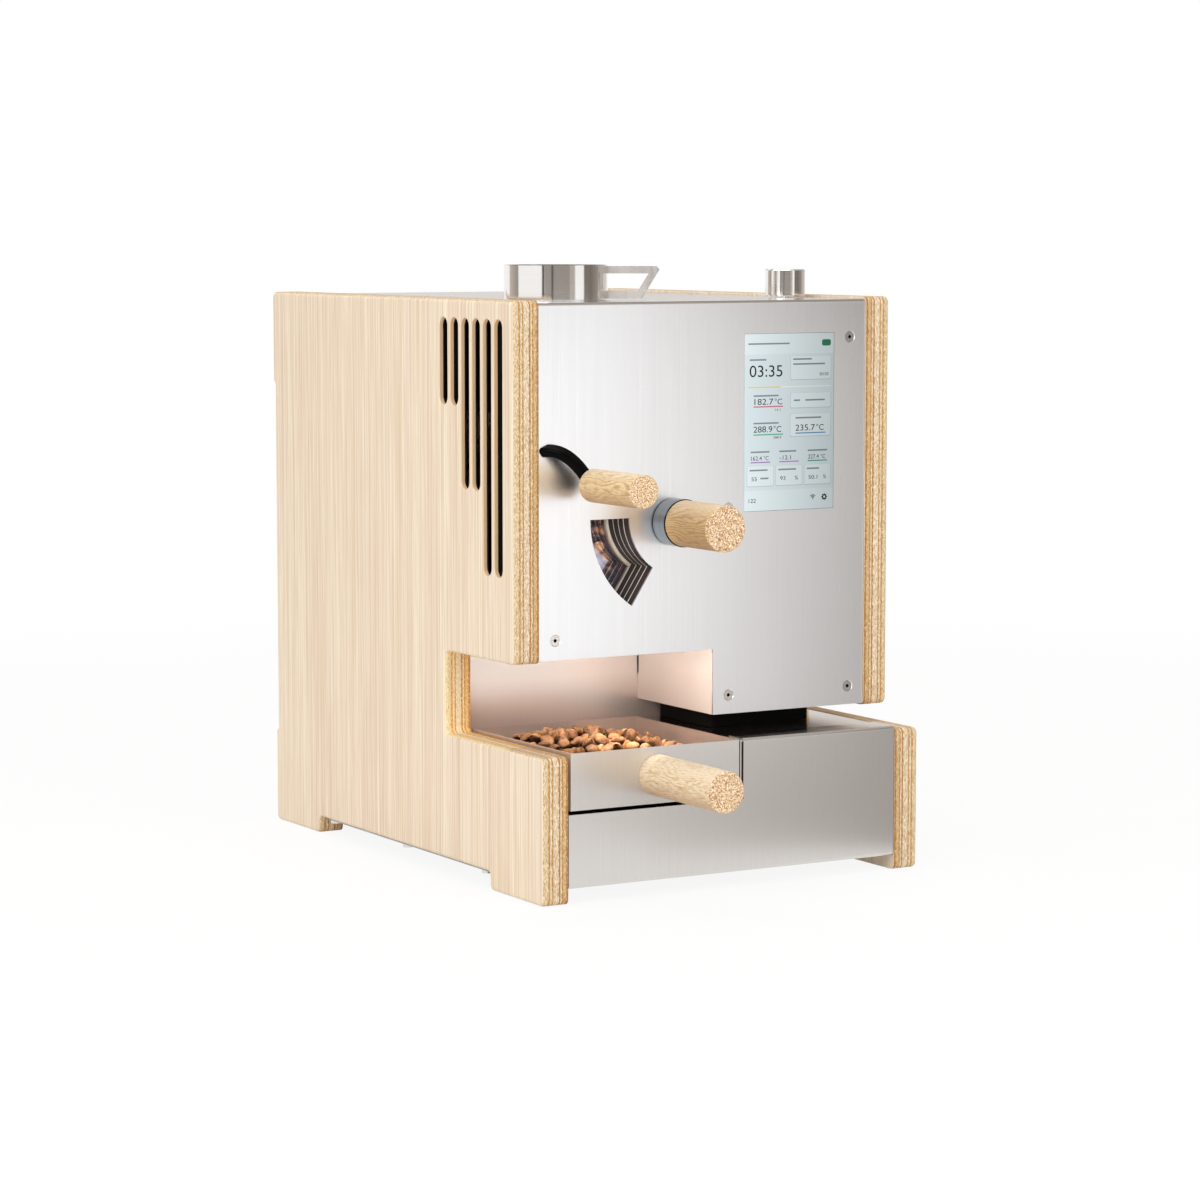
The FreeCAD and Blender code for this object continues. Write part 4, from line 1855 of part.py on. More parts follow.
def tray_handle():
    """The tray's wooden handle."""
    body = new_body("tray_handle")
    end = FACE - S.fascia_reach
    turned(body, "Y", (S.handle_x, S.handle_z),
           grip_outline(S.handle_radius, end - S.handle_length, end, S.grip_bevel,
                        S.handle_screw, S.handle_screw_depth))
    return body


def bean_heap():
    """The room that the roasted beans take up in the tray."""
    body = new_body("bean_heap")
    gap, low = S.liner + S.heap_gap, S.tray_bottom + S.liner
    outline = rectangle(gap - S.tray_left, FACE - S.fascia_reach + gap,
                        S.tray_right - gap, FACE + S.tray_rear - gap)
    pad(body, "XY", low, [outline], S.heap_height)
    top = low + S.heap_height
    soften(body, S.heap_round, lambda edge: near(edge.BoundBox.ZMin, top))
    return body


def drawer_outline(side, low, high_left, high_right):
    """Front view of the drawer: a low half under the tray, a tall half beside it."""
    step = S.drawer_step + side
    left, right = -HALF + S.drawer_side_gap + side, HALF - S.drawer_side_gap - side
    return [(left, low), (right, low), (right, high_right), (step, high_right),
            (step, high_left), (left, high_left)]


def chaff_drawer():
    """The chaff drawer, open under the cyclone and grilled at its back."""
    body = new_body("chaff_drawer")
    wall, front, back = S.liner, FACE - S.fascia_reach + S.liner, FACE + S.drawer_rear
    low = BASE_TOP + S.drawer_lift
    pad(body, "XZ", front, [drawer_outline(term(0), low, S.drawer_low, DRAWER_TOP)],
        back - front)
    pocket(body, "XZ", front, [drawer_outline(wall, low + wall, S.drawer_low,
                                              DRAWER_TOP - wall)], back - front - wall)
    mouth = rectangle(S.seal_left + S.seal_wall, FACE + S.seal_front + S.seal_wall,
                      S.seal_right - S.seal_wall, FACE + S.seal_back - S.seal_wall)
    pocket(body, "XY", DRAWER_TOP - wall, [mouth], wall)
    margin = S.drawer_grille_margin
    first = S.drawer_step + margin
    cut = pocket(body, "XZ", back - wall,
                 [rectangle(first, low + margin, first + S.grille_slot, DRAWER_TOP - margin)],
                 wall)
    linear(body, [cut], cut.Profile[0], "H_Axis", S.grille_pitch, S.drawer_grille_slots)
    return body


def chaff_fascia():
    """The drawer's bent front, with its top flange and its lower lip."""
    body = new_body("chaff_fascia")
    wall, gap = S.liner, S.fascia_gap
    front = FACE - S.fascia_reach
    left, right = -HALF + gap, HALF - gap
    outline = [(left, S.fascia_bottom), (right, S.fascia_bottom), (right, S.fascia_top),
               (S.fascia_step, S.fascia_top), (S.fascia_step, S.fascia_left_top),
               (left, S.fascia_left_top)]
    pad(body, "XZ", front, [outline], wall)
    flange = [(S.fascia_step, front + wall), (right, front + wall),
              (right, front + S.fascia_flange), (S.fascia_step + S.fascia_relief,
                                                 front + S.fascia_flange),
              (S.fascia_step, front + S.fascia_flange - S.fascia_relief)]
    pad(body, "XY", DRAWER_TOP, [flange], wall)
    lip = rectangle(left, front + wall, right, front + S.fascia_lip)
    pad(body, "XY", S.fascia_bottom, [lip], wall)
    soften(body, S.bend, lambda edge: runs_along(edge, "x") and near(edge.CenterOfMass.y, front)
           and (near(edge.CenterOfMass.z, S.fascia_top)
                or near(edge.CenterOfMass.z, S.fascia_bottom)))
    return body


# ---------------------------------------------------------------- power inlet

def rocker_place():
    """The rocker's pivot: (X, Y, Z)."""
    face = BACK + S.sheet + S.socket_flange
    return S.socket_x + S.rocker_offset, face - S.rocker_face, S.socket_z


def power_inlet():
    """The power inlet: flange, body, plug recess with contact pins, and rocker well."""
    body = new_body("power_inlet")
    x, z, rim = S.socket_x, S.socket_z, S.socket_rim
    wide, tall = S.socket_width / 2, S.socket_height / 2
    plane, face = BACK + S.sheet, BACK + S.sheet + S.socket_flange
    pad(body, "XZ", plane, [rectangle(x - wide, z - tall, x + wide, z + tall)],
        S.socket_flange)
    pad(body, "XZ", plane - S.socket_depth,
        [rectangle(x - wide + rim, z - tall + rim, x + wide - rim, z + tall - rim)],
        S.socket_depth)
    plug = x - S.plug_offset
    floor = face - S.plug_depth
    pocket(body, "XZ", floor, [rectangle(plug - S.plug_width / 2, z - S.plug_height / 2,
                                         plug + S.plug_width / 2, z + S.plug_height / 2)],
           S.plug_depth)
    pins = [rectangle(plug + S.plug_pin_pitch * index - S.plug_pin_thickness / 2,
                      z - S.plug_pin / 2, plug + S.plug_pin_pitch * index
                      + S.plug_pin_thickness / 2, z + S.plug_pin / 2)
            for index in (-1, 0, 1)]
    pad(body, "XZ", floor, pins, S.plug_pin_length)
    pivot_x, pivot_y, pivot_z = rocker_place()
    half = S.rocker_width / 2 + S.rocker_gap
    reach = S.rocker_height / 2 + S.rocker_sweep
    pocket(body, "XZ", face - S.rocker_well,
           [rectangle(pivot_x - half, pivot_z - reach, pivot_x + half, pivot_z + reach)],
           S.rocker_well)
    bearing = half + S.rocker_pin
    pocket(body, "YZ", pivot_x - bearing,
           [(pivot_y, pivot_z, S.rocker_pivot + S.running_gap)], bearing * 2)
    return body


def power_rocker():
    """The mains rocker on its pivot pin, tilted to its off side."""
    body = new_body("power_rocker")
    x, y, z = rocker_place()
    half = S.rocker_height / 2
    along, across = cosine(S.rocker_tilt), sine(S.rocker_tilt)
    corners = [(-S.rocker_back, -half + S.rocker_sweep), (S.rocker_tip, -half),
               (S.rocker_face, 0), (S.rocker_tip, half),
               (-S.rocker_back, half - S.rocker_sweep)]
    outline = [(y + out * along - up * across, z + out * across + up * along)
               for out, up in corners]
    pad(body, "YZ", x - S.rocker_width / 2, [outline], S.rocker_width)
    end = S.rocker_width / 2 + S.rocker_gap + S.rocker_pin - S.running_gap
    pad(body, "YZ", x - end, [(y, z, S.rocker_pivot)], end * 2)
    return body


# ---------------------------------------------------------------- the whole

PARTS = (
    front_plate, top_cover, base_plate, back_plate, niche_liner, bulkhead, floor_pan,
    duct_seal, cooling_deck, corner_brackets, chamber_front, drum_jacket, chamber_back,
    drum_bearings, window_spacers, window_shims, window_frame, sight_glass, display_panel,
    display_module, control_board, power_inlet, inlet_flange, inlet_chute, encoder_body,
    cyclone, exhaust_duct, blower_housing, air_heater, drum_motor, drive_bracket,
    cooling_fan_frame, countersunk_screws, base_screws, drum, drum_shaft, drum_gear,
    motor_pinion, blower_impeller, cooling_fan_rotor, inlet_cup, cup_handle, encoder_rotor,
    control_knob, lever_arm, lever_shaft, lever_grip, drop_link, drop_gate, trier_collar,
    trier_scoop, trier_grip, bean_tray, tray_handle, bean_heap, chaff_drawer, chaff_fascia,
    power_rocker,
)


def build():
    """Builds every part and returns them."""
    left = side_panel("left_panel", -1, S.notch_top)
    vent_slots(left)
    parts = [left, side_panel("right_panel", 1, S.slit_top)]
    parts.extend(make() for make in PARTS)
    DOC.recompute()
    return parts


def check(part):
    """Stops where a part is in error or its shape is empty or broken."""
    bad = [item.Name for item in [part] + list(getattr(part, "Group", []))
           if "Invalid" in item.State or "Error" in item.State]
    shape = part.Shape
    if bad or shape.isNull() or not shape.isValid() or shape.Volume <= NEVER:
        raise RuntimeError(f"{part.Label} is not sound: {bad}")


def main():
    parts = build()
    for part in parts:
        check(part)
    os.makedirs("parts", exist_ok=True)
    for part in parts:
        part.Shape.exportStep(f"parts/{part.Label}.step")


main()
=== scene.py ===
"""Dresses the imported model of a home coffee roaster: finishes for its nodes, beans, screen, stage.

Metres, in the model's own frame: X to the right, Y to the back, Z up.
"""

import math
import random

import bmesh
import bpy
from bpy.props import FloatProperty, FloatVectorProperty, IntProperty, PointerProperty
from mathutils import Matrix, Vector
from mathutils.bvhtree import BVHTree


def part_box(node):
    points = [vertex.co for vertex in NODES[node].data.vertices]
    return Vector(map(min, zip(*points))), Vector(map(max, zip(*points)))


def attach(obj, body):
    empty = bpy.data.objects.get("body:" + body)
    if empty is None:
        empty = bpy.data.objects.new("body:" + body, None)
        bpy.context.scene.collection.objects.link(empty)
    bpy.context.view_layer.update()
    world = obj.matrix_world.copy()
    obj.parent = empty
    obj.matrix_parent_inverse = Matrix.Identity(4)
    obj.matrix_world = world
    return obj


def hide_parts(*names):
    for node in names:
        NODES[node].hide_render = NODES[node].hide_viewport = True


bl_info = {
    "name": "Coffee roaster finish",
    "version": (1, 0, 0),
    "blender": (4, 5, 0),
    "location": "View3D > Sidebar > Roaster",
    "description": "Finishes, beans, screen and stage for the packed coffee roaster",
    "category": "Object",
}

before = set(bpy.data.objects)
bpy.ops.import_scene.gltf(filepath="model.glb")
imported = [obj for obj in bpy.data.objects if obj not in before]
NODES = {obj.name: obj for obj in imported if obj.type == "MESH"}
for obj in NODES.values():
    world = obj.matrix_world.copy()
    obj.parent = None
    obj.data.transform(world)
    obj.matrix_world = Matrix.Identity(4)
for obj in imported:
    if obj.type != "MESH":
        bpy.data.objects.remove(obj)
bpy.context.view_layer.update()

MM = 0.001
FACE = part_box("front_plate")[0].y
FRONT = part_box("bean_tray")[0].y / MM


def linear(hex_colour):
    """An sRGB hex colour as linear red, green, blue and alpha."""
    channels = [int(hex_colour[place:place + 2], 16) / 255 for place in (1, 3, 5)]
    return tuple(c / 12.92 if c <= 0.04045 else ((c + 0.055) / 1.055) ** 2.4
                 for c in channels) + (1.0,)


def colour(name, hex_colour, description):
    return FloatVectorProperty(name=name, description=description, subtype="COLOR", size=4,
                               min=0, max=1, default=linear(hex_colour))


class RoasterColours(bpy.types.PropertyGroup):
    """Colours of the finishes."""
    veneer: colour("Veneer", "#FBEFD6", "Cream bands of the birch face veneer")
    veneer_line: colour("Veneer lines", "#DABF9F", "Fine upright grain of the face veneer")
    veneer_blush: colour("Veneer blush", "#F6E5D3", "Pinkish bands of the face veneer")
    steel: colour("Brushed steel", "#FBFBFC", "Brushed stainless sheet of the cabinet")
    # painted shade: a darker copy of the cabinet's steel, for the drawer
    drawer_steel_shaded: colour("Drawer steel", "#DDD9D5", "Brushed stainless sheet of the drawer")
    liner: colour("Liner steel", "#F8ECE4", "Brushed steel of the niche and the tray")
    oak: colour("Oak", "#E9CD9F", "Oiled oak grips")
    oak_line: colour("Oak grain", "#BE9260", "Darker growth lines of the oak")
    bean_light: colour("Beans, light side", "#C68A55", "Light roasted beans")
    bean_dark: colour("Beans, dark side", "#6E3E1C", "Darker roasted beans")


class RoasterSizes(bpy.types.PropertyGroup):
    """Sizes of the pieces that are added to the model."""
    bean_length: FloatProperty(name="Bean length", description="Length of a roasted bean",
                               default=12.2 * MM, unit="LENGTH")
    bean_width: FloatProperty(name="Bean width", description="Width of a roasted bean",
                              default=9.4 * MM, unit="LENGTH")
    bean_height: FloatProperty(name="Bean height", description="Height of a roasted bean",
                               default=7.6 * MM, unit="LENGTH")
    bean_gap: FloatProperty(name="Bean gap", description="From one bean's middle to the next",
                            default=9.6 * MM, unit="LENGTH")
    heap_crown: FloatProperty(name="Heap crown", description="How far the heap's crown "
                              "stands over its edges", default=18 * MM, unit="LENGTH")
    drum_pile: FloatProperty(name="Pile in the drum",
                             description="From the drum's axis to the pile's surface",
                             default=35 * MM, unit="LENGTH")
    pile_turn: FloatProperty(name="Pile turn", description="Way the pile lies in the drum",
                             default=math.radians(208), subtype="ANGLE", unit="ROTATION")
    seed: IntProperty(name="Seed", description="Seed of the beans' places", default=7)


class RoasterStage(bpy.types.PropertyGroup):
    """Camera and light."""
    camera_place: FloatVectorProperty(name="Camera place", description="Camera's location",
                                      size=3, subtype="TRANSLATION", unit="LENGTH",
                                      default=(-1.3852, -2.36535, 0.4828))
    camera_tilt: FloatProperty(name="Camera tilt", description="Tilt below the horizon",
                               default=math.radians(5.995), subtype="ANGLE", unit="ROTATION")
    camera_turn: FloatProperty(name="Camera turn", description="Turn from straight ahead",
                               default=math.radians(-30.126), subtype="ANGLE", unit="ROTATION")
    lens: FloatProperty(name="Lens", description="Focal length in millimetres", default=107.74)
    room_light: FloatProperty(name="Room light", description="Level of the room's light",
                              default=0.62)
    lamp_light: FloatProperty(name="Lamp light", description="Share of the lamps' light",
                              default=1.0)


# ---------------------------------------------------------------- materials

def add(tree, kind, links=None, ramp=None, **settings):
    """Adds a shader node. links maps sockets to values or to other nodes' outputs.

    ramp lists places between 0 and 1 with their hex colours.
    """
    made = tree.nodes.new("ShaderNode" + kind)
    for name, value in settings.items():
        setattr(made, name, value)
    if ramp:
        elements = made.color_ramp.elements
        while len(elements) < len(ramp):
            elements.new(1.0)
        for element, (place, shade) in zip(elements, ramp):
            element.position = place
            element.color = linear(shade)
    for socket, value in (links or {}).items():
        if isinstance(value, bpy.types.NodeSocket):
            tree.links.new(value, made.inputs[socket])
        else:
            made.inputs[socket].default_value = value
    return made


def maths(tree, operation, first, second=0.0):
    """The result of one operation on values or other nodes' outputs."""
    return add(tree, "Math", {0: first, 1: second}, operation=operation).outputs[0]


def along(tree, vector, axis):
    """A vector's part along X, Y or Z, which are 0, 1 and 2."""
    return add(tree, "SeparateXYZ", {0: vector}).outputs[axis]


def facing(tree, axis):
    """How far the surface faces along an axis of its piece, from -1 to 1."""
    return along(tree, add(tree, "TexCoord").outputs["Normal"], axis)


def grey(level):
    return (level, level, level, 1.0)


def dimmed(shade, share):
    """A linear colour, darker by a share."""
    return tuple(channel * share for channel in shade[:3]) + (1.0,)


def finish(name, roughness=0.5, metallic=0.0, **more):
    """A new material, and its shader with constants on the shader's own sockets."""
    made = bpy.data.materials.new(name)
    made.use_nodes = True
    shader = made.node_tree.nodes["Principled BSDF"]
    shader.inputs["Roughness"].default_value = roughness
    shader.inputs["Metallic"].default_value = metallic
    for socket, value in more.items():
        shader.inputs[socket.replace("_", " ")].default_value = value
    return made, made.node_tree, shader


def wire(tree, shader, **sockets):
    """Links other nodes' outputs to the shader's own sockets."""
    for socket, output in sockets.items():
        tree.links.new(output, shader.inputs[socket.replace("_", " ")])


def place_in(tree):
    """The surface's place on its own piece, in metres."""
    return add(tree, "TexCoord").outputs["Object"]


def grain(tree, size_mm, place=None, detail=2.0, distortion=0.0, roughness=0.5):
    """Noise whose patches are about size_mm along X, Y and Z."""
    scale = tuple(1 / (size * MM) for size in size_mm)
    stretched = add(tree, "Mapping", {"Vector": place or place_in(tree), "Scale": scale})
    return add(tree, "TexNoise", {"Vector": stretched.outputs[0], "Scale": 1.0,
                                  "Detail": detail, "Distortion": distortion,
                                  "Roughness": roughness}).outputs["Fac"]


def blend(tree, share, low, high, how="MIX"):
    """A colour between low and high, by share. Each is a hex colour, a value or an output."""
    low, high = (linear(end) if isinstance(end, str) else end for end in (low, high))
    return add(tree, "Mix", {0: share, 6: low, 7: high}, data_type="RGBA",
               blend_type=how).outputs[2]


def spread(tree, value, low, high, to_low=0.0, to_high=1.0):
    """A value's range mapped to another, held at its ends."""
    return add(tree, "MapRange", {"Value": value, "From Min": low, "From Max": high,
                                  "To Min": to_low, "To Max": to_high}).outputs[0]


def raised(tree, shader, height, depth_mm, strength=0.6):
    """Bump of depth_mm from a height between 0 and 1."""
    bump = add(tree, "Bump", {"Height": height, "Distance": depth_mm * MM, "Strength": strength})
    wire(tree, shader, Normal=bump.outputs[0])


def sided(tree, axis):
    """1 where the surface faces along an axis of its piece, 0 elsewhere."""
    return spread(tree, maths(tree, "ABSOLUTE", facing(tree, axis)), 0.66, 0.74)


# Plies across the panel, from its inner side out: where each begins, and its colour.
PLIES = ((0.0, "#A8701F"), (0.08, "#DFC08A"), (0.2, "#BB8228"), (0.25, "#F3E2BE"),
         (0.31, "#AE7622"), (0.37, "#F7E9CC"), (0.58, "#C48E38"), (0.63, "#F4E6C6"),
         (0.71, "#C6923E"), (0.77, "#EEDDB6"), (0.93, "#F0DAB4"))
# In mm: how far the vent slots reach behind the plate's face and over the floor, and how deep
# their walls get painted light, with painted shade deeper in. The notch begins behind the plate's
# face and ends before a place on Y.
VENTS_Y, VENTS_Z, VENT_LIT_DEPTH = (10, 122), (170, 422), 3.3
NOTCH_START, NOTCH_END, NOTCH_Z = 14, 100, (90, 184)


def within(tree, place, axis, low_mm, high_mm, others=1.0):
    """1 between two places along an axis, times other shares."""
    reach = along(tree, place, axis)
    over = maths(tree, "GREATER_THAN", reach, low_mm * MM)
    under = maths(tree, "LESS_THAN", reach, high_mm * MM)
    return maths(tree, "MULTIPLY", maths(tree, "MULTIPLY", over, under), others)


def birch_plywood(colours):
    """Birch plywood, sanded and oiled: pale upright grain, with its plies bare at every edge."""
    made, tree, shader = finish("birch_plywood", roughness=0.55, Specular_IOR_Level=0.35)
    place = place_in(tree)
    # face veneer: hair lines 0.7 mm wide, growth lines 1.8 mm wide, bands 17 mm wide
    hair = grain(tree, (30, 0.7, 60), place, detail=3, roughness=0.7)
    growth = grain(tree, (30, 1.8, 240), place, detail=3, distortion=0.25, roughness=0.65)
    band = grain(tree, (60, 17, 900), place, detail=2, distortion=0.4)
    face = blend(tree, spread(tree, band, 0.3, 0.7), colours.veneer, colours.veneer_blush)
    face = blend(tree, spread(tree, growth, 0.32, 0.6, 0.85, 0.0), face, colours.veneer_line)
    face = blend(tree, spread(tree, hair, 0.34, 0.62, 0.6, 0.0), face, colours.veneer_line)
    # plies: their places across the panel's thickness, with edges torn by up to 0.4 mm
    inner, outer = (corner.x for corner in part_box("right_panel"))
    across = maths(tree, "ABSOLUTE", along(tree, place, 0))
    torn = grain(tree, (0.5, 2.6, 2.6), place, detail=3, roughness=0.75)
    depth = maths(tree, "ADD", spread(tree, across, inner, outer),
                  spread(tree, torn, 0.3, 0.7, -0.02, 0.02))
    ply = add(tree, "ValToRGB", {0: depth}, ramp=PLIES)
    ply.color_ramp.interpolation = "CONSTANT"
    # the edges' open pores are 0.1 mm wide; they are drawn 0.5 mm wide to show
    edge = blend(tree, spread(tree, torn, 0.42, 0.6, 0.72, 0.0), ply.outputs[0], "#A87438")
    pale = grain(tree, (0.6, 1.6, 1.6), place, detail=2)
    edge = blend(tree, spread(tree, pale, 0.54, 0.66, 0, 0.5), edge, "#F3E6CC")
    speck = grain(tree, (0.9, 1.6, 7), place, detail=1)
    edge = blend(tree, spread(tree, speck, 0.74, 0.79, 0, 0.85), edge, "#93430F")
    # painted light on the vent slots' walls near the outer face, and painted shade deeper in the
    # slots
    plate, skin = FACE / MM, -outer / MM
    vents = within(tree, place, 1, plate + VENTS_Y[0], plate + VENTS_Y[1],
                   within(tree, place, 2, *VENTS_Z))
    painted_light_wall = within(tree, place, 0, skin, skin + VENT_LIT_DEPTH, vents)
    edge = blend(tree, painted_light_wall, edge, "#F6D5AB")
    painted_shade_wall = within(tree, place, 0, skin + VENT_LIT_DEPTH, 0, vents)
    edge = blend(tree, painted_shade_wall, edge, "#160B04")
    # painted light: the notch's plies are paler, where light falls into the notch
    painted_light_notch = within(tree, place, 1, plate + NOTCH_START, NOTCH_END,
                    within(tree, place, 2, *NOTCH_Z))
    edge = blend(tree, painted_light_notch, edge, "#E3DACB", "OVERLAY")
    wire(tree, shader, Base_Color=blend(tree, sided(tree, 0), edge, face))
    raised(tree, shader, blend(tree, sided(tree, 0), torn, growth), 0.08, 0.35)
    return made


def brushed(name, sheet, rough=0.3, front=None, metallic=1.0, painted_fold_shade=None, painted_bean_reflection=False):
    """Stainless sheet with a long-line brush finish: upright hair lines spread its gloss."""
    made, tree, shader = finish(name, metallic=metallic, Anisotropic=0.5)
    place = place_in(tree)
    # hair lines are 0.1 mm wide; they are drawn 0.5 mm wide to show at all
    along_front = grain(tree, (0.5, 260, 160), place, detail=3, roughness=0.7)
    along_side = grain(tree, (260, 0.5, 160), place, detail=3, roughness=0.7)
    lines = blend(tree, sided(tree, 0), along_front, along_side)
    cloud = grain(tree, (70, 70, 160), place, detail=2)
    light = tuple(sheet)
    if front:
        # the outside of the front is a neutral grey; the rest keeps the warmer sheet colour
        light = blend(tree, within(tree, place, 1, -1000, FRONT + 1), light, tuple(front))
    low = blend(tree, 1.0, light, grey(0.93), "MULTIPLY")
    shade = blend(tree, spread(tree, lines, 0.3, 0.7), low, light)
    shade = blend(tree, spread(tree, cloud, 0.35, 0.65, 0, 0.5), shade, light)
    if painted_bean_reflection:
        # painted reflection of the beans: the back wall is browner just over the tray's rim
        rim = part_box("bean_tray")[1].z
        over = spread(tree, along(tree, place, 2), rim - 4 * MM, rim + 34 * MM, 0.5, 0)
        shade = blend(tree, maths(tree, "MULTIPLY", over, sided(tree, 1)), shade, "#855A48")
    if painted_fold_shade:
        # painted shade: the fold's bend is darker, standing in for the dark line that it mirrors
        bend = maths(tree, "MULTIPLY", facing(tree, 1), facing(tree, 2))
        shade = blend(tree, spread(tree, bend, -0.2, -0.4), shade, painted_fold_shade)
    # faces that look up keep the mill's smoother finish
    upright = spread(tree, lines, 0.3, 0.7, rough + 0.03, rough - 0.03)
    level = spread(tree, lines, 0.3, 0.7, rough * 0.55, rough * 0.45)
    gloss = add(tree, "Mix", {0: sided(tree, 2), 2: upright, 3: level}).outputs[0]
    wire(tree, shader, Base_Color=shade, Roughness=gloss)
    raised(tree, shader, lines, 0.004, 0.12)
    return made


def turned(name, hex_colour, rough=0.12):
    """Steel turned on a lathe and polished: sharp reflections, a little duller in places."""
    made, tree, shader = finish(name, metallic=1.0)
    # the tool leaves rings 0.1 mm apart; they are drawn 0.8 mm apart to show
    cloud = grain(tree, (90, 90, 0.8), detail=2)
    bright = linear(hex_colour)
    wire(tree, shader,
         Base_Color=blend(tree, spread(tree, cloud, 0.3, 0.7), dimmed(bright, 0.96), bright),
         Roughness=spread(tree, cloud, 0.3, 0.7, rough - 0.01, rough + 0.01))
    return made


def collar_steel():
    """Stainless tube, ground bright: bluish, with painted shade in dark bands at its two ends."""
    made, tree, shader = finish("collar_steel", metallic=1.0, roughness=0.16)
    place = place_in(tree)
    ground = grain(tree, (60, 0.5, 60), place, detail=2)
    bright = blend(tree, spread(tree, ground, 0.3, 0.7), "#7C8388", "#9DA4AA")
    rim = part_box("trier_collar")[0].y / MM
    # painted shade: dark bands where the tube meets the plate and at its front rim
    painted_end_shade = maths(tree, "MAXIMUM",
                   within(tree, place, 1, FACE / MM - 1.4, FACE / MM + 0.5),
                   within(tree, place, 1, rim - 0.1, rim + 1.0))
    wire(tree, shader, Base_Color=blend(tree, painted_end_shade, bright, "#2C3136"))
    return made


def socket_screws():
    """Stainless countersunk screws: bright heads, with painted shade in their sockets."""
    made, tree, shader = finish("socket_screws", metallic=1.0, roughness=0.25)
    smear = grain(tree, (1.2, 1.2, 1.2), detail=2)
    bright = blend(tree, spread(tree, smear, 0.35, 0.65), "#C9C3BC", "#E4E0DC")
    # painted shade: faces deep in the sockets are dark
    painted_socket_shade = spread(tree, along(tree, place_in(tree), 1), FACE + 0.5 * MM, FACE + 0.9 * MM)
    wire(tree, shader, Base_Color=blend(tree, painted_socket_shade, bright, "#1C1816"))
    return made


def dull_steel(name, hex_colour, rough=0.45):
    """Cold rolled sheet: dull, with faint clouds and scuffs from handling."""
    made, tree, shader = finish(name, metallic=1.0)
    clouds = grain(tree, (25, 25, 25), detail=4)
    scuffs = grain(tree, (1.5, 14, 14), detail=2)
    pale = linear(hex_colour)
    wire(tree, shader,
         Base_Color=blend(tree, spread(tree, clouds, 0.3, 0.7), dimmed(pale, 0.8), pale),
         Roughness=spread(tree, scuffs, 0.35, 0.65, rough + 0.1, rough - 0.08))
    raised(tree, shader, scuffs, 0.02, 0.2)
    return made


def heated_steel():
    """Stainless that has been hot: straw and blue clouds over a dull grey."""
    made, tree, shader = finish("heated_steel", metallic=1.0, roughness=0.42)
    clouds = grain(tree, (18, 18, 18), detail=3, distortion=0.5)
    heat = add(tree, "ValToRGB", {0: clouds},
               ramp=((0.3, "#8C8782"), (0.5, "#A79B8A"), (0.62, "#B08D63"), (0.75, "#7F7F8C")))
    wire(tree, shader, Base_Color=heat.outputs[0])
    raised(tree, shader, grain(tree, (0.8, 0.8, 60)), 0.01, 0.3)
    return made


def oiled_oak(name, wood, line):
    """Turned oak, oiled: long grain down the grip and open pores on its end."""
    made, tree, shader = finish(name, roughness=0.5, Specular_IOR_Level=0.35)
    place = place_in(tree)
    # growth lines 2.6 mm apart, bent into long pointed arches down the grip
    bent = grain(tree, (13, 60, 13), place, detail=2, roughness=0.4)
    level = maths(tree, "ADD", along(tree, place, 2), spread(tree, bent, 0.25, 0.75, 0, 15 * MM))
    rings = maths(tree, "SINE", maths(tree, "MULTIPLY", level, math.tau / (2.6 * MM)))
    faint = grain(tree, (8, 30, 8), place, detail=1)
    rings = blend(tree, spread(tree, faint, 0.35, 0.6, 0.2, 0.78), grey(1.0),
                  spread(tree, rings, -1.0, 0.3))
    pores = grain(tree, (0.5, 6, 0.5), place, detail=2)
    side = blend(tree, rings, line, wood)
    side = blend(tree, spread(tree, pores, 0.52, 0.7, 0, 0.6), side, "#9C6A38")
    # painted shade on the underside and painted highlight on the top
    painted_light_facing = facing(tree, 2)
    side = blend(tree, spread(tree, painted_light_facing, 0.1, -1.0, 0, 0.6), side, "#A06E3C")
    side = blend(tree, spread(tree, painted_light_facing, 0.3, 1.0, 0, 0.35), side, "#FFF1D8")
    # pores of the end grain are 0.3 mm; they are drawn 1 mm to show
    dots = grain(tree, (1.0, 3, 1.0), place, detail=2, roughness=0.8)
    end = add(tree, "ValToRGB", {0: dots},
              ramp=((0.37, "#97653D"), (0.46, "#D6AB75"), (0.54, "#EDCFA5"), (0.63, "#FDF2E3")))
    rust = grain(tree, (1.3, 3, 1.3), place, detail=1)
    end = blend(tree, spread(tree, rust, 0.64, 0.7, 0, 0.7), end.outputs[0], "#85412A")
    wire(tree, shader, Base_Color=blend(tree, sided(tree, 1), side, end))
    raised(tree, shader, blend(tree, sided(tree, 1), pores, dots), 0.12, 0.35)
    return made


def moulded(name, hex_colour, rough=0.4, spot_mm=0.8, gloss=0.5):
    """Moulded plastic or rubber: an even colour with a fine eroded surface."""
    made, tree, shader = finish(name, Specular_IOR_Level=gloss)
    spots = grain(tree, (spot_mm, spot_mm, spot_mm), detail=2)
    pale = linear(hex_colour)
    wire(tree, shader,
         Base_Color=blend(tree, spread(tree, spots, 0.35, 0.65), dimmed(pale, 0.82), pale),
         Roughness=spread(tree, spots, 0.3, 0.7, rough + 0.06, rough - 0.04))
    raised(tree, shader, spots, 0.03, 0.25)
    return made


def coated_glass():
    """Heat-proof glass with a thin oxide film: clear, with a lavender mirror over it."""
    made, tree, shader = finish("coated_glass", metallic=1.0, roughness=0.02)
    smear = grain(tree, (12, 12, 22), detail=2)
    film = blend(tree, spread(tree, smear, 0.35, 0.65), "#C3C8E6", "#D2D6F0")
    # the film is thicker toward the pane's lower end
    low, high = (corner.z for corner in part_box("sight_glass"))
    thick = spread(tree, along(tree, place_in(tree), 2), low + 15 * MM, high - 8 * MM, 0.66, 0.24)
    wire(tree, shader, Base_Color=film, Alpha=thick)
    return made


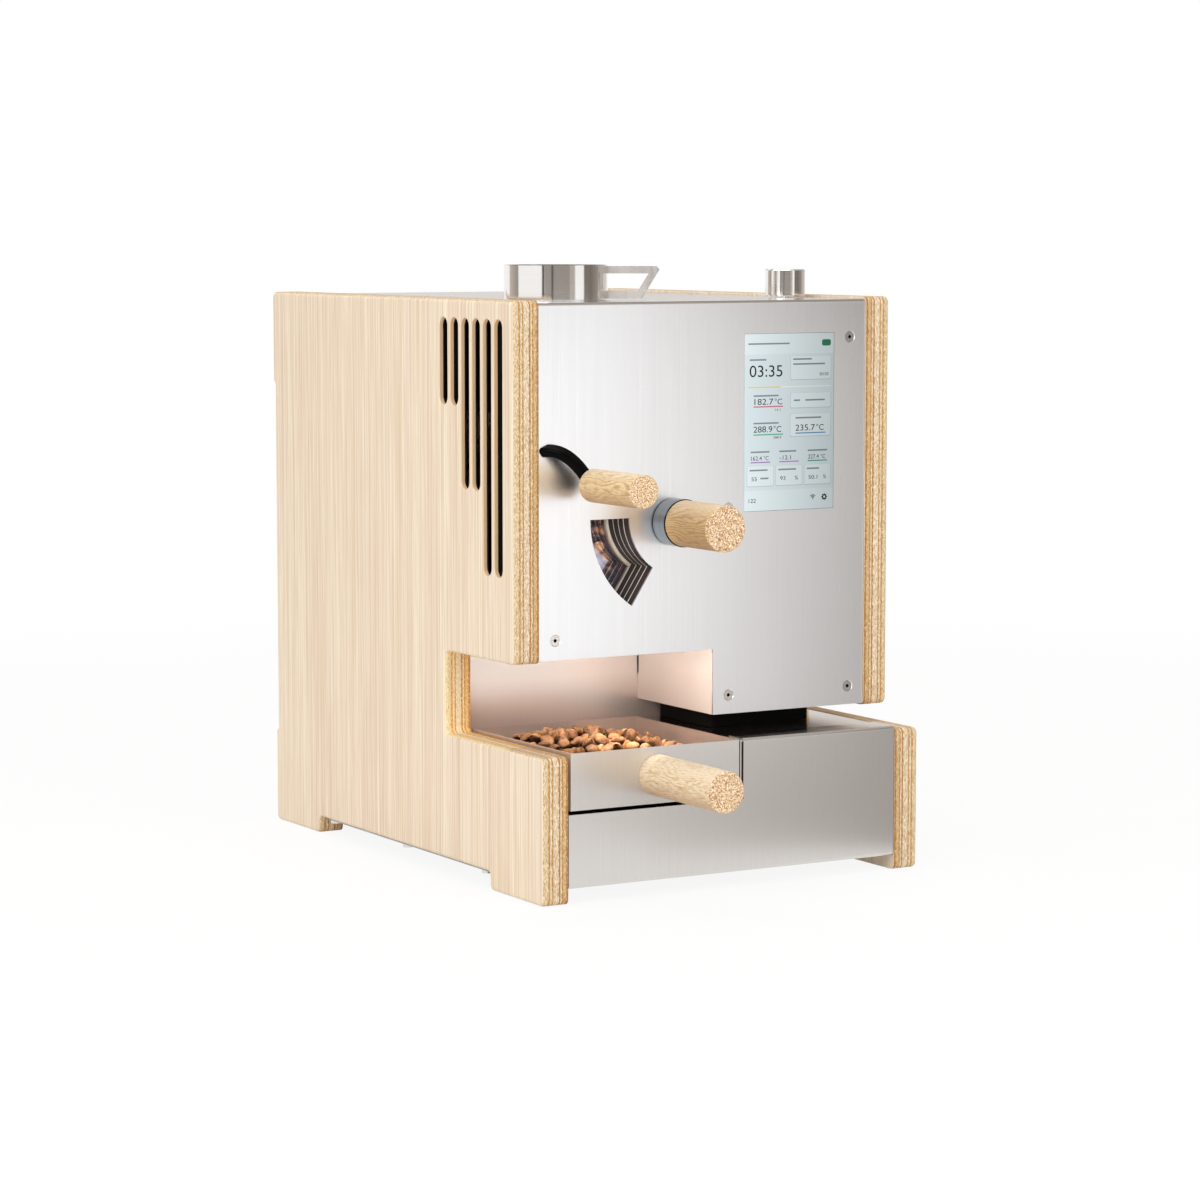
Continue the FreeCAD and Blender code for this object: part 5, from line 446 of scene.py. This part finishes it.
def roasted(name, light, dark, rough=0.42):
    """Light roasted coffee: satin brown, blotched, with paler silver skin left in places."""
    made, tree, shader = finish(name, roughness=rough)
    blotch = grain(tree, (9, 9, 9), detail=3, distortion=0.4)
    fleck = grain(tree, (1.8, 1.8, 1.8), detail=2)
    base = blend(tree, spread(tree, blotch, 0.38, 0.62), dark, light)
    base = blend(tree, spread(tree, fleck, 0.5, 0.75, 0, 0.4), base, "#E6BC90")
    # painted shade on faces that look down, and a painted highlight on faces that look up
    painted_light_facing = facing(tree, 2)
    base = blend(tree, spread(tree, painted_light_facing, 0.42, -0.25), base, "#341808")
    base = blend(tree, spread(tree, painted_light_facing, 0.55, 1.0, 0, 0.35), base, "#EDC394")
    wire(tree, shader, Base_Color=base)
    raised(tree, shader, fleck, 0.2, 0.35)
    return made


def lit_pixels(name, hex_colour):
    """A lit patch of screen: its pixels glow in rows behind dark glass."""
    made, tree, shader = finish(name, roughness=0.3, Base_Color=linear("#101314"),
                                Specular_IOR_Level=0.2)
    # pixels are 0.1 mm; their rows are drawn 0.5 mm apart to show
    rows = grain(tree, (0.5, 5, 0.5), detail=0)
    lit = linear(hex_colour)
    # painted shade: the glow gets dimmer to the right
    left, right = (corner.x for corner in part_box("display_panel"))
    wire(tree, shader,
         Emission_Color=blend(tree, spread(tree, rows, 0.3, 0.7), dimmed(lit, 0.97), lit),
         Emission_Strength=spread(tree, along(tree, place_in(tree), 0), left, right, 0.98, 0.58))
    return made


def wear(nodes, material):
    """Gives CAD nodes a finish, in the slots that they have."""
    for name in nodes:
        slots = NODES[name].data.materials
        if len(slots) == 0:
            slots.append(material)
        for index in range(len(slots)):
            slots[index] = material


# ---------------------------------------------------------------- new pieces

def mesh_of(bm, name):
    """A mesh made of a bmesh, which is freed."""
    mesh = bpy.data.meshes.new(name)
    bm.to_mesh(mesh)
    bm.free()
    return mesh


def stand(name, data):
    """A new object in the scene."""
    made = bpy.data.objects.new(name, data)
    bpy.context.scene.collection.objects.link(made)
    return made


def settle(name, bm, materials, body, smooth=False):
    """Makes a piece of a shape that is already in place, and lets it ride on a body."""
    mesh = mesh_of(bm, name)
    for material in materials:
        mesh.materials.append(material)
    if smooth:
        mesh.shade_smooth()
    piece = stand(name, mesh)
    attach(piece, body)
    return piece


def bean_shape(sizes):
    """One bean: a domed back, a flattened belly and a crease along it."""
    # shares of a round bean; taller gives back the height that the flat belly takes
    flatter, taller, crease_depth, crease_width = 0.45, 1.25, 0.16, 0.14
    bean = bmesh.new()
    bmesh.ops.create_uvsphere(bean, u_segments=10, v_segments=7, radius=0.5)
    for vertex in bean.verts:
        x, y, z = vertex.co
        belly = min(0.0, y)
        crease = crease_depth * math.exp(-(x / crease_width) ** 2) if y < -0.05 else 0.0
        vertex.co = Vector((x, y - belly * flatter + crease, z))
    bean.transform(Matrix.Diagonal((sizes.bean_width, sizes.bean_height * taller,
                                    sizes.bean_length, 1)))
    return mesh_of(bean, "bean_shape")


def scattered(draw, low, high, gap, tries, fits):
    """Places drawn at random in a box, each at least a gap from the others."""
    cells = {}
    places = []
    steps = (-1, 0, 1)
    for _ in range(tries):
        place = Vector([draw.uniform(a, b) for a, b in zip(low, high)])
        if not fits(place):
            continue
        key = tuple(math.floor(part / gap) for part in place)
        near = [other for i in steps for j in steps for k in steps
                for other in cells.get((key[0] + i, key[1] + j, key[2] + k), ())]
        if all((place - other).length > gap for other in near):
            cells.setdefault(key, []).append(place)
            places.append(place)
    return places


def lay_beans(places, sizes, draw):
    """A mesh of one bean at each place, turned at random."""
    shape = bean_shape(sizes)
    smallest, largest = 0.88, 1.08
    pile = bmesh.new()
    for place in places:
        turn = Matrix.Rotation(draw.uniform(0, math.tau), 4, Vector(
            (draw.uniform(-1, 1), draw.uniform(-1, 1), draw.uniform(-1, 1))).normalized())
        size = draw.uniform(smallest, largest)
        one = shape.copy()
        one.transform(Matrix.Translation(place) @ turn @ Matrix.Scale(size, 4))
        pile.from_mesh(one)
        bpy.data.meshes.remove(one)
    bpy.data.meshes.remove(shape)
    return pile


def surface_of(name):
    """A CAD node's surface, to search for its nearest point."""
    mesh = NODES[name].data
    return BVHTree.FromPolygons([v.co for v in mesh.vertices],
                                [p.vertices for p in mesh.polygons])


class ROASTER_OT_panels(bpy.types.Operator):
    """Gives the side panels their plywood."""
    bl_idname = "roaster.panels"
    bl_label = "Plywood panels"

    def execute(self, context):
        wear(("left_panel", "right_panel"), birch_plywood(context.scene.roaster_colours))
        return {"FINISHED"}


class ROASTER_OT_sheet(bpy.types.Operator):
    """Gives the sheet metal its brushed or dull finish."""
    bl_idname = "roaster.sheet"
    bl_label = "Sheet metal"

    def execute(self, context):
        colours = context.scene.roaster_colours
        wear(("front_plate", "top_cover"),
             brushed("brushed_sheet", colours.steel, painted_fold_shade="#B6B0AA"))
        wear(("cup_handle",), dull_steel("satin_handle", "#CBC5C0", 0.36))
        # painted shade: the drawer's sheet is a darker copy of the cabinet's steel
        wear(("chaff_fascia", "chaff_drawer"), brushed("brushed_drawer", colours.drawer_steel_shaded))
        wear(("niche_liner", "bulkhead", "cooling_deck"),
             brushed("brushed_liner", colours.liner, rough=0.24, metallic=0.56, painted_bean_reflection=True))
        wear(("bean_tray",), brushed("brushed_tray", linear("#EBD5C8"), rough=0.24,
                                     front=linear("#D9D5D1"), metallic=0.7))
        wear(("back_plate", "base_plate", "floor_pan", "corner_brackets", "drive_bracket"),
             dull_steel("rolled_sheet", "#B4B1AD"))
        wear(("exhaust_duct", "cyclone", "blower_housing"),
             dull_steel("spun_aluminium", "#C9C8C6", 0.38))
        return {"FINISHED"}


class ROASTER_OT_turned(bpy.types.Operator):
    """Gives the turned pieces, shafts and screws their steel."""
    bl_idname = "roaster.turned"
    bl_label = "Turned steel"

    def execute(self, context):
        wear(("inlet_cup", "control_knob", "inlet_flange"),
             turned("polished_steel", "#F3F0ED", 0.1))
        wear(("trier_collar",), collar_steel())
        wear(("trier_scoop", "lever_shaft", "drum_shaft", "drop_link",
              "drop_gate"), turned("machined_steel", "#C3C8CD", 0.14))
        wear(("countersunk_screws",), socket_screws())
        wear(("base_screws",), turned("screw_steel", "#DEDAD6", 0.22))
        wear(("drum_gear", "motor_pinion", "drum_bearings"),
             turned("hardened_steel", "#9B9A9A", 0.3))
        return {"FINISHED"}


class ROASTER_OT_grips(bpy.types.Operator):
    """Gives the grips their oak and the lever its black arm."""
    bl_idname = "roaster.grips"
    bl_label = "Grips and lever"

    def execute(self, context):
        colours = context.scene.roaster_colours
        wear(("lever_grip",), oiled_oak("oiled_oak", colours.oak, colours.oak_line))
        # the tray's handle has a paler oak
        wear(("tray_handle",), oiled_oak("pale_oak", linear("#F3DDBB"), linear("#D9B78A")))
        # painted shade: the trier's grip gets a darker copy of the oak
        shaded_oak = [tuple(c * share for c, share in zip(shade[:3], (0.84, 0.78, 0.7))) + (1.0,)
                  for shade in (colours.oak, colours.oak_line)]
        wear(("trier_grip",), oiled_oak("painted_shade_oak", *shaded_oak))
        wear(("lever_arm",), moulded("black_enamel", "#050404", 0.16, 1.5, gloss=0.05))
        return {"FINISHED"}


class ROASTER_OT_window(bpy.types.Operator):
    """Gives the window's stack its dark spacers, light shims, frame and glass."""
    bl_idname = "roaster.window"
    bl_label = "Window"

    def execute(self, context):
        wear(("window_spacers",), moulded("dark_spacer", "#3B302B", 0.5, gloss=0.3))
        wear(("window_shims",), moulded("mica_shim", "#FFF9EE", 0.45))
        wear(("window_frame",), moulded("cream_frame", "#F8E8CF", 0.42))
        wear(("sight_glass",), coated_glass())
        return {"FINISHED"}


class ROASTER_OT_inside(bpy.types.Operator):
    """Gives the chamber, the drive, the fans and the board their finishes."""
    bl_idname = "roaster.inside"
    bl_label = "Inside"

    def execute(self, context):
        wear(("chamber_front", "chamber_back", "drum_jacket", "drum", "inlet_chute"),
             heated_steel())
        wear(("cooling_fan_frame", "cooling_fan_rotor", "encoder_body", "encoder_rotor",
              "power_inlet", "display_module", "blower_impeller"),
             moulded("black_plastic", "#202022", 0.42))
        wear(("power_rocker",), moulded("rocker_plastic", "#2A2A2C", 0.3))
        wear(("display_panel",), moulded("screen_glass", "#C9D4DA", 0.12, 3))
        wear(("control_board",), moulded("circuit_board", "#2F5D3C", 0.4, 2.5))
        wear(("duct_seal",), moulded("silicone", "#0C0A09", 0.7, gloss=0.1))
        wear(("air_heater",), moulded("heater_ceramic", "#E2DACB", 0.6))
        wear(("drum_motor",), moulded("motor_paint", "#4A4C50", 0.4))
        return {"FINISHED"}


class ROASTER_OT_tray_beans(bpy.types.Operator):
    """Heaps roasted beans in the tray."""
    bl_idname = "roaster.tray_beans"
    bl_label = "Beans in the tray"

    def execute(self, context):
        sizes = context.scene.roaster_sizes
        colours = context.scene.roaster_colours
        draw = random.Random(sizes.seed)
        low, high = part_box("bean_heap")
        margin = Vector((1, 1, 1)) * sizes.bean_width * 0.55
        # the crown lies a little left of the middle, and falls faster to the sides
        crown_x = low.x + 0.47 * (high.x - low.x)
        crown_y = low.y + 0.55 * (high.y - low.y)
        side_fall, depth_fall = 3.2, 1.5
        layer = 26 * MM

        def under(place):
            side = (place.x - crown_x) / (high.x - low.x)
            depth = (place.y - crown_y) / (high.y - low.y)
            fall = min(1.0, side_fall * side * side + depth_fall * depth * depth)
            top = high.z - margin.z * 0.4 - fall * sizes.heap_crown
            return top - layer < place.z < top

        places = scattered(draw, low + margin, high, sizes.bean_gap, 60000, under)
        coffee = roasted("roasted_beans", colours.bean_light, colours.bean_dark)
        beans = settle("beans_in_tray", lay_beans(places, sizes, draw), [coffee], "tray",
                       smooth=True)
        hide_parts("bean_heap")
        return {"FINISHED"}


class ROASTER_OT_drum_beans(bpy.types.Operator):
    """Puts a pile of roasted beans behind the window, in the drum."""
    bl_idname = "roaster.drum_beans"
    bl_label = "Beans in the drum"

    def execute(self, context):
        sizes = context.scene.roaster_sizes
        draw = random.Random(sizes.seed + 1)
        low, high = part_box("drum")
        hub_low, hub_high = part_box("drum_shaft")
        axis = (hub_low + hub_high) / 2
        axis.y = 0
        radius = (high.x - low.x) / 2
        surface = surface_of("drum")
        down = Vector((math.cos(sizes.pile_turn), 0, math.sin(sizes.pile_turn)))
        # only the beans next to the drum's mouth can be seen
        mouth, back = low.y + 6 * MM, low.y + 40 * MM
        wall_gap, vane_gap = 6 * MM, 4.6 * MM

        def fits(place):
            if (place - axis).dot(down) < sizes.drum_pile:
                return False
            if Vector((place.x - axis.x, 0, place.z - axis.z)).length > radius - wall_gap:
                return False
            return surface.find_nearest(place)[3] > vane_gap

        places = scattered(draw, Vector((low.x, mouth, low.z)),
                           Vector((high.x, back, high.z)), sizes.bean_gap, 30000, fits)
        # painted shade: the beans in the drum get a darker copy of the roasted coffee
        coffee = roasted("painted_shade_beans", linear("#A9784E"), linear("#54351F"), 0.3)
        beans = settle("beans_in_drum", lay_beans(places, sizes, draw), [coffee],
                       "drum_set", smooth=True)
        return {"FINISHED"}


class ROASTER_OT_screen(bpy.types.Operator):
    """Draws the lit screen: plain numbers, cards, lines and two signs.

    Places are shares of the screen's width, from its left, and height, from its top. Each
    layer lies a little before the last: its lift is in mm from the glass.
    """
    bl_idname = "roaster.screen"
    bl_label = "Screen"

    def execute(self, context):
        self.low, self.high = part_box("display_panel")
        self.width = self.high.x - self.low.x
        self.height = self.high.z - self.low.z
        ground = bmesh.new()
        self.card(ground, 0, 0, 1, 1, lift=0.05)
        self.card(ground, 0, 0, 1, 0.115, lift=0.07, patch=1)
        self.card(ground, 0, 0.885, 1, 1, lift=0.07, patch=1)
        self.done("screen_ground", ground,
                  (("lit_ground", "#DCE9EC"), ("lit_header", "#E4F0F2")))

        cards = bmesh.new()
        for left, top, right, bottom in ((0.51, 0.128, 0.97, 0.265), (0.51, 0.337, 0.97, 0.425),
                                         (0.51, 0.455, 0.97, 0.587), (0.03, 0.745, 0.33, 0.863),
                                         (0.35, 0.745, 0.65, 0.863), (0.67, 0.745, 0.97, 0.863)):
            self.card(cards, left, top, right, bottom, lift=0.08, corner=0.012)
            self.card(cards, left + 0.004, top + 0.001, right - 0.004, bottom - 0.004,
                      lift=0.1, corner=0.012, patch=1)
        self.done("screen_cards", cards,
                  (("lit_card_edge", "#BCC9CE"), ("lit_card", "#E7F2F4")))

        lines = bmesh.new()
        strokes = ((0.04, 0.298, 0.40, 0), (0.40, 0.298, 0.97, 1), (0.10, 0.408, 0.43, 2),
                   (0.10, 0.566, 0.43, 3), (0.57, 0.563, 0.91, 4), (0.07, 0.722, 0.29, 5),
                   (0.39, 0.722, 0.61, 6), (0.71, 0.722, 0.93, 7))
        for left, top, right, patch in strokes:
            self.card(lines, left, top, right, top + 0.0065, lift=0.12, patch=patch)
        self.card(lines, 0.865, 0.037, 0.965, 0.073, lift=0.1, corner=0.018, patch=8)
        self.done("screen_lines", lines,
                  (("lit_yellow", "#EFD46A"), ("lit_white", "#F4F8F6"), ("lit_red", "#D0627C"),
                   ("lit_green", "#4FB08A"), ("lit_blue", "#5E8FC4"), ("lit_purple", "#A87BBE"),
                   ("lit_magenta", "#C277D6"), ("lit_teal", "#3F9C95"), ("lit_pill", "#2E7D5B")))

        numbers = bmesh.new()
        for text, left, top, right, bottom in (
                ("03:35", 0.055, 0.178, 0.42, 0.243), ("182.7", 0.11, 0.366, 0.32, 0.4),
                ("°C", 0.335, 0.366, 0.42, 0.4), ("288.9", 0.1, 0.521, 0.31, 0.556),
                ("°C", 0.325, 0.521, 0.41, 0.556), ("235.7", 0.57, 0.518, 0.79, 0.553),
                ("°C", 0.805, 0.518, 0.89, 0.553), ("162.4", 0.075, 0.69, 0.195, 0.714),
                ("°C", 0.215, 0.69, 0.27, 0.714), ("-12.1", 0.395, 0.69, 0.52, 0.714),
                ("227.4", 0.715, 0.69, 0.835, 0.714), ("°C", 0.855, 0.69, 0.91, 0.714),
                ("55", 0.08, 0.808, 0.14, 0.83), ("93", 0.4, 0.808, 0.46, 0.83),
                ("%", 0.565, 0.808, 0.6, 0.83), ("50.1", 0.72, 0.808, 0.82, 0.83),
                ("%", 0.885, 0.808, 0.92, 0.83), ("00:50", 0.84, 0.225, 0.94, 0.242),
                ("13.1", 0.34, 0.424, 0.40, 0.436), ("288.9", 0.32, 0.58, 0.41, 0.593),
                ("122", 0.05, 0.93, 0.13, 0.952)):
            self.number(numbers, text, left, top, right, bottom)
        # grey bars stand where the screen has words
        for left, top, right in ((0.04, 0.052, 0.5), (0.055, 0.142, 0.24), (0.54, 0.142, 0.75),
                                 (0.54, 0.17, 0.9), (0.1, 0.345, 0.38), (0.55, 0.375, 0.62),
                                 (0.68, 0.375, 0.9), (0.1, 0.5, 0.38), (0.57, 0.475, 0.86),
                                 (0.07, 0.662, 0.28), (0.39, 0.662, 0.58), (0.71, 0.662, 0.93),
                                 (0.06, 0.765, 0.26), (0.38, 0.765, 0.58), (0.7, 0.765, 0.84),
                                 (0.18, 0.812, 0.27)):
            self.card(numbers, left, top, right, top + 0.009, lift=0.12, patch=1)
        self.signs(numbers)
        self.done("screen_numbers", numbers, (("lit_ink", "#14191B"), ("lit_grey", "#87929A")))
        return {"FINISHED"}

    def spot(self, across, down, lift_mm):
        """A place on the screen: shares of its width and height, lift_mm before its glass."""
        return Vector((self.low.x + across * self.width, self.low.y - lift_mm * MM,
                       self.high.z - down * self.height))

    def card(self, bm, left, top, right, bottom, lift, corner=0.0, patch=0):
        """A thin plate on the screen, with its corners rounded."""
        a, b = self.spot(left, top, lift), self.spot(right, bottom, lift)
        upright = (Matrix.Diagonal((b.x - a.x, 1, a.z - b.z, 1))
                   @ Matrix.Rotation(math.pi / 2, 4, "X"))
        made = bmesh.ops.create_grid(bm, x_segments=1, y_segments=1, size=0.5,
                                     matrix=Matrix.Translation((a + b) / 2) @ upright)
        verts = made["verts"]
        faces = list(dict.fromkeys(face for vert in verts for face in vert.link_faces))
        if corner:
            done = bmesh.ops.bevel(bm, geom=verts, affect="VERTICES", segments=3, profile=0.5,
                                   material=-1, offset=corner * self.width)
            faces = list(dict.fromkeys(face for vert in done["verts"]
                                       for face in vert.link_faces))
        for face in faces:
            face.material_index = patch
        grown = bmesh.ops.extrude_face_region(bm, geom=faces)
        bmesh.ops.translate(bm, vec=Vector((0, 0.02 * MM, 0)), verts=[
            item for item in grown["geom"] if isinstance(item, bmesh.types.BMVert)])

    def number(self, bm, text, left, top, right, bottom):
        """Plain digits that fill a box on the screen."""
        curve = bpy.data.curves.new("digits", "FONT")
        curve.body = text
        curve.extrude = 0.01
        holder = bpy.data.objects.new("digits", curve)
        mesh = bpy.data.meshes.new_from_object(holder)
        a, b = self.spot(left, top, 0.14), self.spot(right, bottom, 0.14)
        xs = [vertex.co.x for vertex in mesh.vertices]
        ys = [vertex.co.y for vertex in mesh.vertices]
        fit = Matrix.Diagonal(((b.x - a.x) / (max(xs) - min(xs)),
                               (a.z - b.z) / (max(ys) - min(ys)), MM, 1))
        centre = Matrix.Translation((-min(xs), -min(ys), 0))
        mesh.transform(Matrix.Translation((a.x, a.y, b.z))
                       @ Matrix.Rotation(math.pi / 2, 4, "X") @ fit @ centre)
        bm.from_mesh(mesh)
        bpy.data.objects.remove(holder)
        bpy.data.curves.remove(curve)
        bpy.data.meshes.remove(mesh)

    def signs(self, bm):
        """A sign for radio and a toothed wheel for settings."""
        radio = self.spot(0.77, 0.945, 0.14)
        for radius in (1.1, 2.1, 3.1):
            self.arc(bm, radio, (radius - 0.28) * MM, (radius + 0.28) * MM, 45, 90)
        self.arc(bm, radio, 0, 0.4 * MM, 0, 360)
        wheel = self.spot(0.9, 0.935, 0.14)
        self.arc(bm, wheel, 0.9 * MM, 2.0 * MM, 0, 360)
        for tooth in range(8):
            self.arc(bm, wheel, 1.9 * MM, 2.7 * MM, tooth * 45 - 9, 18)

    def arc(self, bm, centre, inner, outer, start, sweep):
        """A flat ring, or a part of one, round a place on the screen."""
        a = bm.verts.new(centre + Vector((inner, 0, 0)))
        b = bm.verts.new(centre + Vector((outer, 0, 0)))
        edge = bm.edges.new((a, b))
        bmesh.ops.rotate(bm, cent=centre, verts=[a, b],
                         matrix=Matrix.Rotation(-math.radians(start), 3, "Y"))
        bmesh.ops.spin(bm, geom=[a, b, edge], cent=centre, axis=(0, 1, 0),
                       angle=-math.radians(sweep), steps=max(2, int(sweep / 12)),
                       use_merge=sweep == 360)

    def done(self, name, bm, shades):
        piece = settle(name, bm, [lit_pixels(*shade) for shade in shades], "cabinet")


# Grey cards that metal mirrors: name, degrees left of straight ahead from and to, radius and
# height of the lower edge and of the upper edge, shade at its start and its end, strength.
# A card that crosses straight ahead changes its shade there at once.
CARDS = (("card_back", 118, 150, (3.0, 0.0), (3.0, 0.9), "#9A9087", "#C6BEB6", 1),
         ("card_slim_left", 54.5, 59.5, (3.2, 0.25), (3.2, 0.65), "#17110D", "#2A221C", 1),
         ("card_wide", -12, 54, (3.3, 0.3), (3.3, 0.58), "#AFA7A0", "#8C847C", 1),
         ("card_slim_front", 35, 39.5, (3.2, 0.3), (3.2, 0.58), "#231B16", "#3A302A", 1),
         ("card_right", -42, -10, (0.85, 0.0), (0.85, 0.40), "#564E47", "#FFFFFF", 1.64),
         ("card_upper", -42, -28, (0.85, 0.40), (0.85, 0.56), "#857D76", "#6E6760", 1),
         ("card_dark", -72, -42, (0.85, 0.0), (0.85, 1.0), "#9B948D", "#746C65", 1),
         ("card_side", -122, -72, (2.0, 0.0), (2.0, 1.0), "#E4DFD9", "#ABA49D", 1),
         ("card_low", -80, -4, (0.3, 0.003), (0.85, 0.003), "#645C55", "#DCD8D4", 1),
         ("card_behind", -170, -132, (3.0, 0.5), (3.0, 1.15), "#E4DFDA", "#D2CCC6", 1),
         ("card_high_left", 8, 172, (3.0, 1.3), (1.4, 3.3), "#D6D2CE", "#BEB8B3", 1),
         ("card_high_right", -172, -8, (3.0, 1.3), (1.4, 3.3), "#BEB8B3", "#D6D2CE", 1))


class ROASTER_OT_stage(bpy.types.Operator):
    """Sets the floor, the lamps, the room's light and the camera."""
    bl_idname = "roaster.stage"
    bl_label = "Stage"

    def execute(self, context):
        stage = context.scene.roaster_stage
        context.scene.view_settings.view_transform = "Standard"
        self.floor()
        self.room(stage.room_light)
        # soft lamps round the stage, which all point at the roaster's middle
        for name, place, size, power in (
                ("lamp_left", (-2.2, -1.3, 1.5), 1.6, 24),
                ("lamp_front", (0.3, -2.0, 0.9), 0.9, 8),
                ("lamp_top", (-0.2, 0.1, 2.2), 1.6, 14)):
            made = self.lamp(name, place, size, power * stage.lamp_light, Vector((0, 0, 0.2)))
            made.visible_glossy = name != "lamp_front"
        # small lamps: behind the window, before it, in the drum and under the niche's roof
        low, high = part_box("sight_glass")
        pane = (low + high) / 2
        post = Vector((pane.x + 11 * MM, high.y + 2 * MM, pane.z + 7 * MM))
        window = self.lamp("lamp_window", post, 0.014, 0.015, post + Vector((4, 18, -3)) * MM)
        window.data.shape = "RECTANGLE"
        window.data.size_y = 0.034
        window.data.color = linear("#FFF3E2")[:3]
        front = Vector((pane.x - 14 * MM, FACE - 14 * MM, pane.z + 12 * MM))
        sight = self.lamp("lamp_sight", front, 0.012, 0.012, front + Vector((26, 22, -16)) * MM)
        low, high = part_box("drum")
        middle = (low + high) / 2
        drum = self.lamp("lamp_drum", (middle.x + 0.02, low.y + 0.045, middle.z + 0.03),
                         0.03, 0.3, Vector((low.x, low.y + 0.02, low.z + 0.03)))
        drum.data.color = linear("#FFEBD2")[:3]
        low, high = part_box("bean_heap")
        lamp_z, target_z = 162 * MM, 110 * MM
        under = Vector((low.x + 52 * MM, low.y + 25 * MM, lamp_z))
        niche = self.lamp("lamp_niche", under, 0.04, 0.14,
                          Vector((high.x + 30 * MM, high.y - 30 * MM, target_z)))
        niche.data.color = linear("#FFF5EA")[:3]
        for made in (window, sight, drum, niche):
            made.visible_camera = made.visible_glossy = False
        for card in CARDS:
            self.card(*card)
        camera = stand("camera", bpy.data.cameras.new("camera"))
        camera.data.lens = stage.lens
        camera.location = stage.camera_place
        camera.rotation_euler = (math.pi / 2 - stage.camera_tilt, 0, stage.camera_turn)
        context.scene.camera = camera
        return {"FINISHED"}

    def seen(self, tree):
        """1 for rays that come from the camera, or straight off metal and glass."""
        rays = add(tree, "LightPath").outputs
        either = maths(tree, "MAXIMUM", rays["Is Camera Ray"], rays["Is Glossy Ray"])
        return maths(tree, "MAXIMUM", either, rays["Is Transmission Ray"])

    def floor(self):
        """A pale floor that shows white and keeps a soft shadow."""
        made, tree, shader = finish("pale_floor", roughness=0.8)
        mottle = grain(tree, (40, 40, 40), detail=3)
        wire(tree, shader, Base_Color=blend(tree, mottle, "#F4F3F1", "#FAF9F8"))
        white = add(tree, "Emission", {"Color": grey(1.0), "Strength": 1.0}).outputs[0]
        away = add(tree, "VectorMath", {0: place_in(tree)}, operation="LENGTH").outputs["Value"]
        share = maths(tree, "MULTIPLY", self.seen(tree), spread(tree, away, 0.9, 1.8, 0.88, 1))
        mixed = add(tree, "MixShader", {0: share, 1: shader.outputs[0], 2: white})
        tree.links.new(mixed.outputs[0], tree.nodes["Material Output"].inputs[0])
        bm = bmesh.new()
        bmesh.ops.create_grid(bm, x_segments=4, y_segments=4, size=6.0)
        mesh = mesh_of(bm, "floor")
        mesh.materials.append(made)
        floor = stand("floor", mesh)

    def card(self, name, start, end, low, high, shade, last, strength):
        """A grey card, bent round the stage, that only metal and glass see."""
        made = bpy.data.materials.new(name)
        made.use_nodes = True
        tree = made.node_tree
        place = place_in(tree)
        turned_by = maths(tree, "ARCTAN2", along(tree, place, 0), along(tree, place, 1))
        turns = [math.atan2(-math.sin(math.radians(a)), -math.cos(math.radians(a)))
                 for a in (start, end)]
        tone = blend(tree, spread(tree, turned_by, *turns), shade, last)
        glow = add(tree, "Emission", {"Color": tone, "Strength": strength})
        tree.links.new(glow.outputs[0], tree.nodes["Material Output"].inputs[0])
        bm = bmesh.new()
        turn = Matrix.Rotation(math.radians(-start), 3, "Z")
        ends = [bm.verts.new(turn @ Vector((0, -radius, z))) for radius, z in (low, high)]
        edge = bm.edges.new(ends)
        bmesh.ops.spin(bm, geom=ends + [edge], cent=(0, 0, 0), axis=(0, 0, 1),
                       angle=-math.radians(end - start), steps=8, use_merge=False)
        mesh = mesh_of(bm, name)
        mesh.materials.append(made)
        card = stand(name, mesh)
        card.visible_camera = card.visible_diffuse = card.visible_shadow = False

    def room(self, level):
        """The room: lights the object at one level, and shows white."""
        world = bpy.data.worlds.new("room")
        world.use_nodes = True
        tree = world.node_tree
        background = tree.nodes["Background"]
        tree.links.new(blend(tree, self.seen(tree), grey(level), grey(1.0)),
                       background.inputs["Color"])
        bpy.context.scene.world = world

    def lamp(self, name, place, size, power, target):
        """A square soft lamp that points at a target."""
        data = bpy.data.lights.new(name, "AREA")
        data.size = size
        data.energy = power
        lamp = stand(name, data)
        lamp.location = place
        lamp.rotation_euler = (target - lamp.location).to_track_quat("-Z", "Y").to_euler()
        return lamp


OPERATORS = (ROASTER_OT_panels, ROASTER_OT_sheet, ROASTER_OT_turned, ROASTER_OT_grips,
             ROASTER_OT_window, ROASTER_OT_inside, ROASTER_OT_tray_beans,
             ROASTER_OT_drum_beans, ROASTER_OT_screen, ROASTER_OT_stage)


class ROASTER_PT_panel(bpy.types.Panel):
    """Shows the roaster's colours, sizes, stage and operators in the sidebar."""
    bl_idname = "ROASTER_PT_panel"
    bl_label = "Coffee roaster"
    bl_space_type = "VIEW_3D"
    bl_region_type = "UI"
    bl_category = "Roaster"

    def draw(self, context):
        for group in (context.scene.roaster_colours, context.scene.roaster_sizes,
                      context.scene.roaster_stage):
            box = self.layout.box()
            for name in group.bl_rna.properties.keys():
                if name not in ("rna_type", "name"):
                    box.prop(group, name)
        for operator in OPERATORS:
            self.layout.operator(operator.bl_idname)


GROUPS = (("roaster_colours", RoasterColours), ("roaster_sizes", RoasterSizes),
          ("roaster_stage", RoasterStage))


def register():
    for name, group in GROUPS:
        bpy.utils.register_class(group)
        setattr(bpy.types.Scene, name, PointerProperty(type=group))
    for made in OPERATORS + (ROASTER_PT_panel,):
        bpy.utils.register_class(made)


def unregister():
    for made in reversed(OPERATORS + (ROASTER_PT_panel,)):
        bpy.utils.unregister_class(made)
    for name, group in reversed(GROUPS):
        delattr(bpy.types.Scene, name)
        bpy.utils.unregister_class(group)


def main():
    register()
    for operator in OPERATORS:
        family, name = operator.bl_idname.split(".")
        getattr(getattr(bpy.ops, family), name)()


if __name__ == "__main__":
    main()
